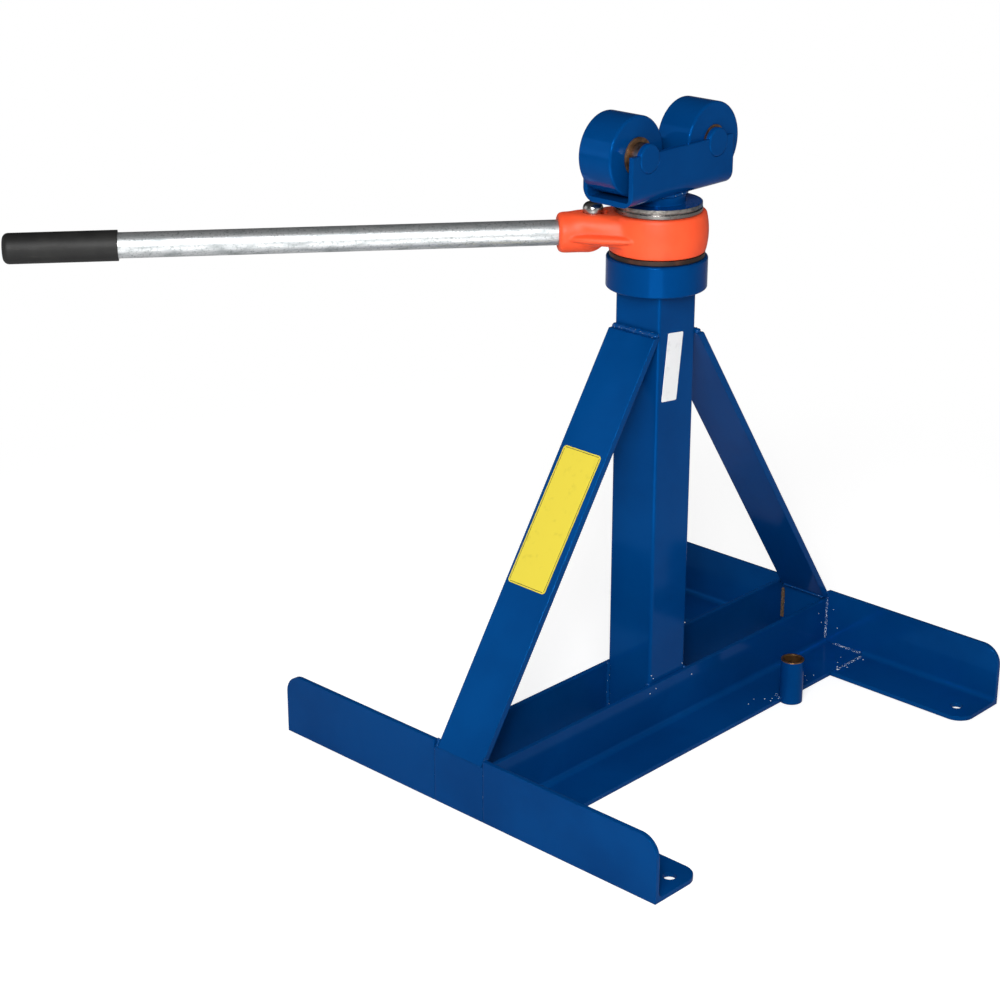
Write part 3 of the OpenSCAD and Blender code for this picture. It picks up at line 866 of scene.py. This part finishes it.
@dataclass
class WeldSpatter:
    """Small drops of weld metal that stuck to the enamelled steel round the joints (sizes in mm).

    Each face has the drops that are on it, by their places along the other two axes.
    """

    name: str
    leg_x: float
    column_x: float
    end_plate_y: float
    flange_z: float = 6.4
    radius: float = 0.85
    lumps: float = 0.5
    on_flange: tuple[Pair, ...] = (
        (101.0, 232.0), (107.0, 241.0), (96.0, 252.0), (110.0, 226.0), (104.0, 262.0),
        (106.0, 158.0), (99.0, 150.0), (109.0, 151.0), (88.0, 139.0), (92.0, 121.0),
        (112.0, 310.0), (104.0, 322.0), (124.0, 318.0), (97.0, 340.0), (126.0, 356.0),
    )
    on_leg: tuple[Pair, ...] = ((-44.0, 66.0), (-31.0, 69.0), (47.0, 64.0), (352.0, 58.0), (360.0, 41.0))
    on_column: tuple[Pair, ...] = ((-30.0, 82.0), (-34.5, 88.0), (33.0, 84.0))
    on_end_plate: tuple[Pair, ...] = ((57.0, 62.0), (66.0, 34.0))

    def _places(self) -> Iterable[Place]:
        """Gives the place of every drop."""
        yield from ((x, y, self.flange_z) for x, y in self.on_flange)
        yield from ((self.leg_x, y, z) for y, z in self.on_leg)
        yield from ((self.column_x, y, z) for y, z in self.on_column)
        yield from ((x, self.end_plate_y, z) for x, z in self.on_end_plate)

    def build(self, paint: Paint) -> None:
        """Models the drops as one piece.

        Args:
            paint: The store of materials.
        """
        radius = self.radius * MM
        drops = []
        for place in self._places():
            Bench.clear_selection()
            bpy.ops.mesh.primitive_ico_sphere_add(subdivisions=2, radius=radius, location=Vector(place) * MM)
            drops.append(bpy.context.object)
        piece = drops[0]
        Bench.join(piece, drops[1:])
        bpy.ops.object.shade_smooth()
        Bench.roughen(piece, radius * self.lumps)
        # The drops get a pale finish, a painted glint.
        Bench.settle(piece, self.name, Body.BASE, SPATTER, paint)


@dataclass
class LabelPlate:
    """A thin blank plate stuck on a flat face (sizes in mm)."""

    name: str
    centre: Place
    across: Place
    up: Place
    width: float
    height: float
    finish: Finish
    border: Finish | None = None
    thickness: float = 0.5
    corner: float = 4.5
    margin: float = 1.7
    line: float = 0.8

    def _axes(self) -> tuple[Vector, Vector, Vector]:
        """Gives the directions across, up and out of the plate's face."""
        across, up = Vector(self.across).normalized(), Vector(self.up).normalized()
        return across, up, across.cross(up)

    def build(self, paint: Paint) -> None:
        """Models the plate.

        Args:
            paint: The store of materials.
        """
        Bench.clear_selection()
        bpy.ops.mesh.primitive_plane_add(size=1.0)
        piece = bpy.context.object
        Bench.open_mesh(piece)
        bpy.ops.transform.resize(value=(self.width * MM, self.height * MM, 1.0))
        bpy.ops.mesh.bevel(offset=self.corner * MM, segments=4, affect="VERTICES")
        bpy.ops.mesh.extrude_region_move(TRANSFORM_OT_translate={"value": (0.0, 0.0, self.thickness * MM)})
        bpy.ops.mesh.select_all(action="SELECT")
        bpy.ops.mesh.normals_make_consistent(inside=False)
        if self.border is not None:
            self._draw_border(piece)
        bpy.ops.object.mode_set(mode="OBJECT")
        turn = Matrix(self._axes()).transposed().to_4x4()
        piece.matrix_world = Matrix.Translation(Vector(self.centre) * MM) @ turn
        Bench.settle(piece, self.name, Body.BASE, self.finish, paint)
        if self.border is not None:
            piece.data.materials.append(paint.material(self.border))
            self._ink(piece)

    def _draw_border(self, piece: bpy.types.Object) -> None:
        """Insets the front face twice, so that a narrow frame of faces is left between.

        Args:
            piece: The plate, in edit mode.
        """
        bpy.ops.mesh.select_mode(type="FACE")
        bpy.ops.mesh.select_all(action="DESELECT")
        bpy.ops.object.mode_set(mode="OBJECT")
        front = max(piece.data.polygons, key=lambda face: face.center.z + face.area)
        front.select = True
        bpy.ops.object.mode_set(mode="EDIT")
        bpy.ops.mesh.inset(thickness=self.margin * MM)
        bpy.ops.mesh.inset(thickness=self.line * MM)

    def _ink(self, piece: bpy.types.Object) -> None:
        """Gives the narrow frame of faces its own finish.

        Args:
            piece: The plate, at its place.
        """
        across, up, out = self._axes()
        centre = Vector(self.centre) * MM
        half_width, half_height = self.width / 2 * MM, self.height / 2 * MM
        for face in piece.data.polygons:
            offset = face.center - centre
            rim = min(half_width - abs(offset.dot(across)), half_height - abs(offset.dot(up)))
            if face.normal.dot(out) > 0.9 and self.margin * MM < rim < (self.margin + self.line) * MM:
                face.material_index = 1


@dataclass
class BaseFrame:
    """The welded base: its beads, its spatter and its bare label plates (sizes in mm).

    A brace is given by its left edge, its right edge and its top. A span says from where to where a bead
    runs. A set says how far the middle of a bead is from the edges that it joins.
    """

    column: float = 38.1
    beam_leg: float = 44.5
    base_half: float = 378.5
    inner_face: float = 372.1
    brace_foot: float = 79.0
    brace_face: float = 49.585
    front_brace: tuple[float, float, float] = (-38.5, 40.5, 580.0)
    rear_brace: tuple[float, float, float] = (-35.5, 43.5, 569.0)
    column_span_left: Pair = (8.0, 84.0)
    column_span_right: Pair = (8.0, 75.5)
    column_set: Pair = (-1.5, 1.0)
    brace_end_set: float = 4.0
    brace_top_set: Pair = (3.6, 1.6)
    brace_foot_set: Pair = (-12.0, 0.5)
    brace_gap: Pair = (-1.5, 1.0)
    lump_start_set: Pair = (-3.6, -2.0)
    lump_end_set: Pair = (-7.6, 8.0)
    corner_set: float = 0.5
    trough_set: float = 1.0
    seam_set: float = 1.6
    upright_span: Pair = (14.0, 74.0)
    trough_span: Pair = (24.0, 68.0)
    floor_span: Pair = (62.0, 110.0)
    floor_height: float = 6.8
    flange_edge: float = 117.6
    flange_span: Pair = (302.0, 361.0)
    flange_height: float = 5.8
    seam_span: Pair = (4.0, 76.0)
    socket_middle: float = 184.0
    socket_near: Pair = (104.0, 13.0)
    socket_far: Pair = (113.0, 17.5)
    brace_plate_size: Pair = (65.0, 195.0)
    brace_plate_climb: float = 334.3
    brace_plate_shift: float = -1.0
    brace_plate_lean: float = 0.0130
    column_plate_size: Pair = (31.0, 93.5)
    column_plate_place: Pair = (-8.7, 532.5)
    column_plate_way: Pair = (0.115, 0.993)

    def build(self, paint: Paint) -> None:
        """Adds the beads, the plates and the spatter.

        Args:
            paint: The store of materials.
        """
        for beads in (self._column_beads(), self._brace_beads(), self._corner_beads(), self._socket_beads()):
            for bead in beads:
                bead.build(paint)
        for plate in self._plates():
            plate.build(paint)
        WeldSpatter("weld_spatter", self.beam_leg, self.column, self.inner_face).build(paint)

    def _column_beads(self) -> Iterable[WeldBead]:
        """Gives the upright beads between the column and the beams."""
        for side_x, side_y, name in ((1, -1, "near"), (-1, -1, "left"), (1, 1, "right"), (-1, 1, "far")):
            low, high = self.column_span_left if side_x < 0 else self.column_span_right
            at = (side_x * (self.column + self.column_set[0]), side_y * (self.column + self.column_set[1]))
            yield WeldBead(f"column_weld_{name}", (*at, low), (*at, high), radius=3.6)

    def _brace_beads(self) -> Iterable[WeldBead]:
        """Gives the beads at the two ends of each brace, and the lumps that close its lower corners."""
        for side, name, (left, right, top) in ((-1, "front", self.front_brace), (1, "rear", self.rear_brace)):
            for end, reach, height, (out, rise), radius in (
                ("top", self.column, top, self.brace_top_set, 4.8),
                ("foot", self.base_half, self.brace_foot, self.brace_foot_set, 2.0),
            ):
                edges = (left + self.brace_end_set, right - self.brace_end_set)
                ends = ((x, side * (reach + out), height + rise) for x in edges)
                yield WeldBead(f"{name}_brace_{end}_weld", *ends, radius=radius)
            for end, edge, wall in (
                ("left", left + self.brace_gap[0], -self.beam_leg),
                ("right", right + self.brace_gap[1], self.beam_leg),
            ):
                middle = (edge + wall) / 2
                ends = (
                    (middle, side * (self.base_half + out), self.brace_foot + rise)
                    for out, rise in (self.lump_start_set, self.lump_end_set)
                )
                yield WeldBead(f"{name}_brace_lump_{end}", *ends, radius=3.2)

    def _corner_beads(self) -> Iterable[WeldBead]:
        """Gives the beads between the beams, the feet and the end plates."""
        for side_x, side_y, name in (
            (1, -1, "front_right"), (-1, -1, "front_left"), (1, 1, "rear_right"), (-1, 1, "rear_left"),
        ):
            wall = side_y * (self.inner_face - self.corner_set)
            leg = side_x * (self.beam_leg + self.corner_set)
            trough = side_x * (self.column - self.trough_set)
            seam = side_x * (self.beam_leg - self.corner_set)
            outer = side_y * (self.base_half - self.seam_set)
            flange = side_x * self.flange_edge
            bare = BARE_BEAD if name == "rear_left" else BEAD
            # The rear right beads carry painted glints.
            lit = GLINT_BEAD if name == "rear_right" else BEAD
            for part, ends, radius, finish in (
                ("upright", ((leg, wall, z) for z in self.upright_span), 2.3, lit),
                ("trough", ((trough, wall, z) for z in self.trough_span), 3.6, bare),
                ("floor", ((side_x * x, wall, self.floor_height) for x in self.floor_span), 2.0, lit),
                ("flange", ((flange, side_y * y, self.flange_height) for y in self.flange_span), 2.6, lit),
                ("seam", ((seam, outer, z) for z in self.seam_span), 1.3, BEAD),
            ):
                yield WeldBead(f"{name}_{part}_weld", *ends, radius=radius, finish=finish)

    def _socket_beads(self) -> Iterable[WeldBead]:
        """Gives the beads at the foot of the tie socket."""
        # The front socket bead carries painted glints.
        for side, name, finish in ((-1, "front", GLINT_BEAD), (1, "rear", BEAD)):
            start, end = (
                (x, self.socket_middle + side * out, self.floor_height)
                for x, out in (self.socket_near, self.socket_far)
            )
            yield WeldBead(f"socket_weld_{name}", start, end, radius=2.8, finish=finish)

    def _plates(self) -> Iterable[LabelPlate]:
        """Gives the bare plates on the front brace and on the column."""
        foot = Vector((0.0, -self.base_half, self.brace_foot))
        up = (Vector((0.0, -self.brace_face, self.front_brace[2])) - foot).normalized()
        across = Vector((1.0, 0.0, 0.0))
        lean = self.brace_plate_lean
        centre = foot + up * self.brace_plate_climb + across * self.brace_plate_shift
        yield LabelPlate(
            "brace_plate", tuple(centre), tuple(across - up * lean), tuple(up + across * lean),
            *self.brace_plate_size, YELLOW, BORDER,
        )
        aside, upright = self.column_plate_way
        yield LabelPlate(
            "column_plate", (self.column, *self.column_plate_place),
            (0.0, upright, -aside), (0.0, aside, upright),
            *self.column_plate_size, WHITE, thickness=0.4, corner=2.0,
        )


@dataclass
class RatchetHead:
    """The cast housing: the soft skin of a sand casting, with a rib on each side of its arm (sizes in mm).

    Along, across and rise are measured from the column's axis at the height of the handle.
    """

    grain: float = 1.2
    merged: float = 0.01
    outside: float = 58.0
    arm_start: float = 70.0
    blend_start: float = 5.0
    rim: float = 7.0
    skin_passes: int = 10
    arm_passes: int = 110
    rib_size: tuple[float, float, float] = (50.0, 10.0, 6.0)
    rib_place: Place = (78.0, 35.0, -3.0)
    rib_lean: float = 162.4
    rib_passes: int = 3
    pawl_axis: Pair = (-55.05, -66.07)
    shaft_reach: float = 13.0
    pocket_half: float = 24.0
    pocket_end: float = 106.0
    pocket_rise: Pair = (-10.0, 16.5)
    pipe_reach: float = 18.5
    handle_height: float = 710.8

    def build(self, paint: Paint, solid: bpy.types.Object) -> None:
        """Models the casting from a copy of its solid.

        Args:
            paint: The store of materials.
            solid: The housing's CAD node.
        """
        low, high = (corner.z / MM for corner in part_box("ratchet_housing"))
        piece = bpy.data.objects.new("cast_housing", solid.data.copy())
        bpy.context.scene.collection.objects.link(piece)
        Bench.open_mesh(piece)
        bpy.ops.mesh.remove_doubles(threshold=self.merged * MM)
        bpy.ops.object.mode_set(mode="OBJECT")
        Bench.fuse(piece, self.grain * MM)
        skin, arm = [], []
        for vertex in piece.data.vertices:
            point = vertex.co / MM
            reach = math.hypot(point.x, point.y)
            along = point.x * math.cos(HANDLE_ANGLE) + point.y * math.sin(HANDLE_ANGLE)
            if reach > self.outside:
                skin.append(vertex.index)
            blend = along > self.blend_start and low + self.rim < point.z < high - self.rim
            if reach > (self.outside if blend else self.arm_start) and not self._hollow(point, along):
                arm.append(vertex.index)
        Bench.smooth(piece, self.skin_passes, skin)
        Bench.smooth(piece, self.arm_passes, arm)
        self._add_ribs(piece)
        Bench.settle(piece, "cast_housing", Body.HANDLE, ORANGE, paint)
        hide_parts("ratchet_housing")

    def _add_ribs(self, piece: bpy.types.Object) -> None:
        """Blends one long rib into each side of the arm.

        Args:
            piece: The casting.
        """
        along, across, rise = self.rib_place
        shape = Matrix.Diagonal((*(Vector(self.rib_size) * MM), 1.0))
        handle = Matrix.Rotation(HANDLE_ANGLE, 4, "Z")
        ribs = []
        for side in (-1, 1):
            Bench.clear_selection()
            bpy.ops.mesh.primitive_uv_sphere_add(segments=64, ring_count=32, radius=1.0)
            rib = bpy.context.object
            place = Matrix.Translation(Vector((along, side * across, self.handle_height + rise)) * MM)
            lean = Matrix.Rotation(math.radians(side * self.rib_lean), 4, "Z")
            rib.matrix_world = handle @ place @ lean @ shape
            Bench.freeze(rib)
            ribs.append(rib)
        Bench.join(piece, ribs)
        Bench.fuse(piece, self.grain * MM)
        skin = [vertex.index for vertex in piece.data.vertices if vertex.co.xy.length > self.outside * MM]
        Bench.smooth(piece, self.rib_passes, skin)

    def _hollow(self, point: Vector, along: float) -> bool:
        """Finds the hollows of the arm, which keep their shape.

        Args:
            point: A point of the casting.
            along: How far it is along the handle.

        Returns:
            True in the pawl's pocket, in the bore of its shaft and in the pipe's bore.
        """
        across = point.y * math.cos(HANDLE_ANGLE) - point.x * math.sin(HANDLE_ANGLE)
        rise = point.z - self.handle_height
        floor, roof = self.pocket_rise
        shaft = math.hypot(point.x - self.pawl_axis[0], point.y - self.pawl_axis[1]) < self.shaft_reach
        pocket = abs(across) < self.pocket_half and along < self.pocket_end and floor < rise < roof
        pipe = math.hypot(across, rise) < self.pipe_reach
        return shaft or pocket or pipe


@dataclass
class ScrewAndSaddle:
    """The jack screw's thread and the saddle's beads (sizes in mm).

    A flank and a flat of the thread are shares of its lead.
    """

    lead: float = 12.7
    crest: float = 25.0
    depth: float = 5.0
    flank: float = 0.14
    flat: float = 0.36
    steps: int = 48
    spare_turns: int = 4
    merged: float = 0.02
    crease: float = 35.0
    bead_rise: float = 1.4
    bead_radius: float = 3.0
    bead_bends: tuple[Pair, ...] = ((28.0, -23.0), (33.5, -11.0), (33.5, 11.0), (28.0, 23.0))

    def build(self, paint: Paint) -> None:
        """Adds the thread and the beads.

        Args:
            paint: The store of materials.
        """
        self._thread(paint)
        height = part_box("saddle_channel")[0].z / MM + self.bead_rise
        for side, name in ((-1, "left"), (1, "right")):
            bends = [(side * x, y, height) for x, y in self.bead_bends]
            for part, (start, end) in enumerate(zip(bends, bends[1:]), 1):
                bead = WeldBead(f"saddle_weld_{name}_{part}", start, end, self.bead_radius, BEAD, Body.SCREW)
                bead.build(paint)

    def _thread(self, paint: Paint) -> None:
        """Models the screw by sweeping one thread's profile round its axis, and cuts its ends flat.

        Args:
            paint: The store of materials.
        """
        low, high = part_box("jack_screw")
        lead, depth = self.lead * MM, self.depth * MM
        flank, flat = self.flank * lead, self.flat * lead
        Bench.clear_selection()
        bpy.ops.mesh.primitive_plane_add(size=MM)
        piece = bpy.context.object
        Bench.open_mesh(piece)
        bpy.ops.mesh.select_mode(type="VERT")
        bpy.ops.mesh.merge(type="CENTER")
        bpy.ops.transform.translate(value=(self.crest * MM - depth, 0.0, low.z - self.spare_turns / 2 * lead))
        for along_x, along_z in ((0.0, flat), (depth, flank), (0.0, flat), (-depth, flank)):
            bpy.ops.mesh.extrude_region_move(TRANSFORM_OT_translate={"value": (along_x, 0.0, along_z)})
        bpy.ops.object.mode_set(mode="OBJECT")
        turns = math.ceil((high.z - low.z) / lead) + self.spare_turns
        Bench.apply(
            piece, "SCREW", axis="Z", screw_offset=lead, angle=2 * math.pi, iterations=turns,
            steps=self.steps, render_steps=self.steps,
            use_merge_vertices=True, merge_threshold=self.merged * MM,
        )
        Bench.open_mesh(piece)
        bpy.ops.mesh.remove_doubles(threshold=self.merged * MM)
        for height, outer in ((low.z, False), (high.z, True)):
            bpy.ops.mesh.select_all(action="SELECT")
            bpy.ops.mesh.bisect(
                plane_co=(0.0, 0.0, height), plane_no=(0.0, 0.0, 1.0), use_fill=True,
                clear_outer=outer, clear_inner=not outer,
            )
        bpy.ops.mesh.select_all(action="SELECT")
        bpy.ops.mesh.normals_make_consistent(inside=False)
        bpy.ops.object.mode_set(mode="OBJECT")
        bpy.ops.object.shade_smooth_by_angle(angle=math.radians(self.crease))
        Bench.settle(piece, "screw_thread", Body.SCREW, BRIGHT, paint)
        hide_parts("jack_screw")


@dataclass(frozen=True)
class SoftBox:
    """A square soft box that faces the middle of the object (sizes in metres, power in watts)."""

    name: str
    place: Place
    size: float
    power: float
    mirrored: bool = True
    aim: Place = (0.0, 0.0, 0.42)

    def hang(self) -> None:
        """Hangs the box where the camera doesn't see it; glossy surfaces show it if it is mirrored."""
        data = bpy.data.lights.new(self.name, "AREA")
        data.energy, data.shape, data.size = self.power, "SQUARE", self.size
        lamp = bpy.data.objects.new(self.name, data)
        lamp.location = self.place
        lamp.visible_camera = False
        lamp.visible_glossy = self.mirrored
        way = Vector(self.aim) - Vector(self.place)
        lamp.rotation_euler = way.to_track_quat("-Z", "Y").to_euler()
        bpy.context.scene.collection.objects.link(lamp)


@dataclass
class Studio:
    """The floor, the light and the camera of the photograph (sizes in metres, angles in degrees).

    The room's light, its loss overhead and its loss at the back are what glossy surfaces show. The ambient
    light is what falls on dull ones. The floor turns white between two squared distances from the column.
    """

    eye: Place = (1.8134, -2.2085, 1.4478)
    turn: float = 43.53
    down: float = 21.41
    lens: float = 80.38
    sensor: float = 36.0
    clip: Pair = (0.05, 100.0)
    boxes: tuple[SoftBox, ...] = (
        SoftBox("key", (1.60, -2.35, 2.25), 1.5, 70.0),
        SoftBox("spark", (1.72, -2.36, 1.80), 0.30, 22.0),
        SoftBox("left_fill", (-2.60, -2.00, 1.50), 2.0, 8.0),
        SoftBox("right_fill", (3.00, 0.30, 1.50), 2.0, 5.0),
        SoftBox("back_fill", (-2.20, 1.90, 1.00), 2.0, 16.0, mirrored=False),
    )
    strip_reach: float = 1.70
    strip_height: float = 0.005
    strip_size: Pair = (1.90, 1.20)
    strip_power: float = 11.0
    room: float = 0.45
    overhead_loss: float = 0.39
    back_loss: float = 0.75
    back_way: Pair = (-0.634, 0.773)
    ambient: float = 0.27
    white: Colour = (1.0, 1.0, 1.0)
    paper: Colour = (0.64, 0.64, 0.64)
    paper_glow: float = 0.62
    floor_side: float = 60.0
    floor_drop: float = 0.0005
    floor_fade: Pair = (0.8, 2.6)

    def build(self) -> None:
        """Sets the scene up."""
        scene = bpy.context.scene
        scene.view_settings.view_transform = "Standard"
        self._camera(scene)
        self._world(scene)
        self._floor()
        for box in self.boxes:
            box.hang()
        self._floor_strip()

    def _camera(self, scene: bpy.types.Scene) -> None:
        """Places the camera.

        Args:
            scene: The scene.
        """
        data = bpy.data.cameras.new("camera")
        data.lens, data.sensor_width = self.lens, self.sensor
        data.clip_start, data.clip_end = self.clip
        camera = bpy.data.objects.new("camera", data)
        camera.location = self.eye
        camera.rotation_euler = (math.radians(90.0 - self.down), 0.0, math.radians(self.turn))
        scene.collection.objects.link(camera)
        scene.camera = camera

    def _world(self, scene: bpy.types.Scene) -> None:
        """Surrounds the object with a pale room that is darker overhead and at the back.

        Args:
            scene: The scene.
        """
        world = bpy.data.worlds.new("studio")
        world.use_nodes = True
        scene.world = world
        sheet = NodeSheet(world.node_tree)
        rays = sheet.node("ShaderNodeLightPath").outputs
        seen = sheet.value(rays["Is Camera Ray"])
        mirrored = sheet.value(rays["Is Glossy Ray"]).at_least(sheet.value(rays["Is Transmission Ray"]))
        direction = sheet.node("ShaderNodeTexCoord").outputs["Generated"]
        parts = sheet.node("ShaderNodeSeparateXYZ", {}, {0: direction}).outputs
        x, y, height = (sheet.value(parts[axis]) for axis in "XYZ")
        back_x, back_y = self.back_way
        behind = (y * back_y + x * back_x).step(0.2, 0.8)
        room = (self.room - height.step(0.02, 0.25) * self.overhead_loss) * (1.0 - behind * self.back_loss)
        strength = seen + (1.0 - seen) * (mirrored * room + (1.0 - mirrored) * self.ambient)
        light = sheet.node("ShaderNodeBackground", {}, {"Color": self.white, "Strength": strength})
        sheet.node("ShaderNodeOutputWorld", {}, {"Surface": light.outputs[0]})

    def _floor(self) -> None:
        """Lays the pale floor, which the camera sees as white outside the shadow."""
        Bench.clear_selection()
        bpy.ops.mesh.primitive_plane_add(size=self.floor_side, location=(0.0, 0.0, -self.floor_drop))
        floor = bpy.context.object
        floor.name = "floor"
        material = bpy.data.materials.new("floor_paper")
        material.use_nodes = True
        sheet = NodeSheet(material.node_tree)
        paper = sheet.node("ShaderNodeBsdfDiffuse", {}, {"Color": self.paper})
        seen = sheet.value(sheet.node("ShaderNodeLightPath").outputs["Is Camera Ray"])
        glow = sheet.node("ShaderNodeEmission", {}, {"Color": self.white, "Strength": seen * self.paper_glow})
        near = sheet.node("ShaderNodeAddShader", {}, {0: paper.outputs[0], 1: glow.outputs[0]})
        white = sheet.node("ShaderNodeEmission", {}, {"Color": self.white, "Strength": 1.0})
        x, y, _ = (sheet.value(socket) for socket in sheet.axes())
        far = seen * (x * x + y * y).step(*self.floor_fade)
        mixed = sheet.node("ShaderNodeMixShader", {}, {0: far, 1: near.outputs[0], 2: white.outputs[0]})
        sheet.node("ShaderNodeOutputMaterial", {}, {"Surface": mixed.outputs[0]})
        floor.data.materials.append(material)

    def _floor_strip(self) -> None:
        """Lays one long soft box on the floor, under the camera and facing up."""
        towards = math.atan2(self.eye[1], self.eye[0])
        reach = self.strip_reach
        data = bpy.data.lights.new("low_strip", "AREA")
        data.energy, data.shape = self.strip_power, "RECTANGLE"
        data.size, data.size_y = self.strip_size
        lamp = bpy.data.objects.new("low_strip", data)
        lamp.location = (reach * math.cos(towards), reach * math.sin(towards), self.strip_height)
        lamp.rotation_euler = (math.pi, 0.0, towards)
        lamp.visible_camera = False
        bpy.context.scene.collection.objects.link(lamp)


def main() -> None:
    """Builds the scene in order."""
    logging.basicConfig(level=logging.INFO, format="%(name)s: %(message)s")
    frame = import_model()
    Studio().build()
    paint = Paint()
    for finish, nodes in NODE_FINISHES.items():
        for node in nodes:
            paint.coat(frame["nodes"][node], finish)
            LOG.info("%s has %s", node, finish.name)
    BaseFrame().build(paint)
    ScrewAndSaddle().build(paint)
    RatchetHead().build(paint, frame["nodes"]["ratchet_housing"])


if __name__ == "__main__":
    main()
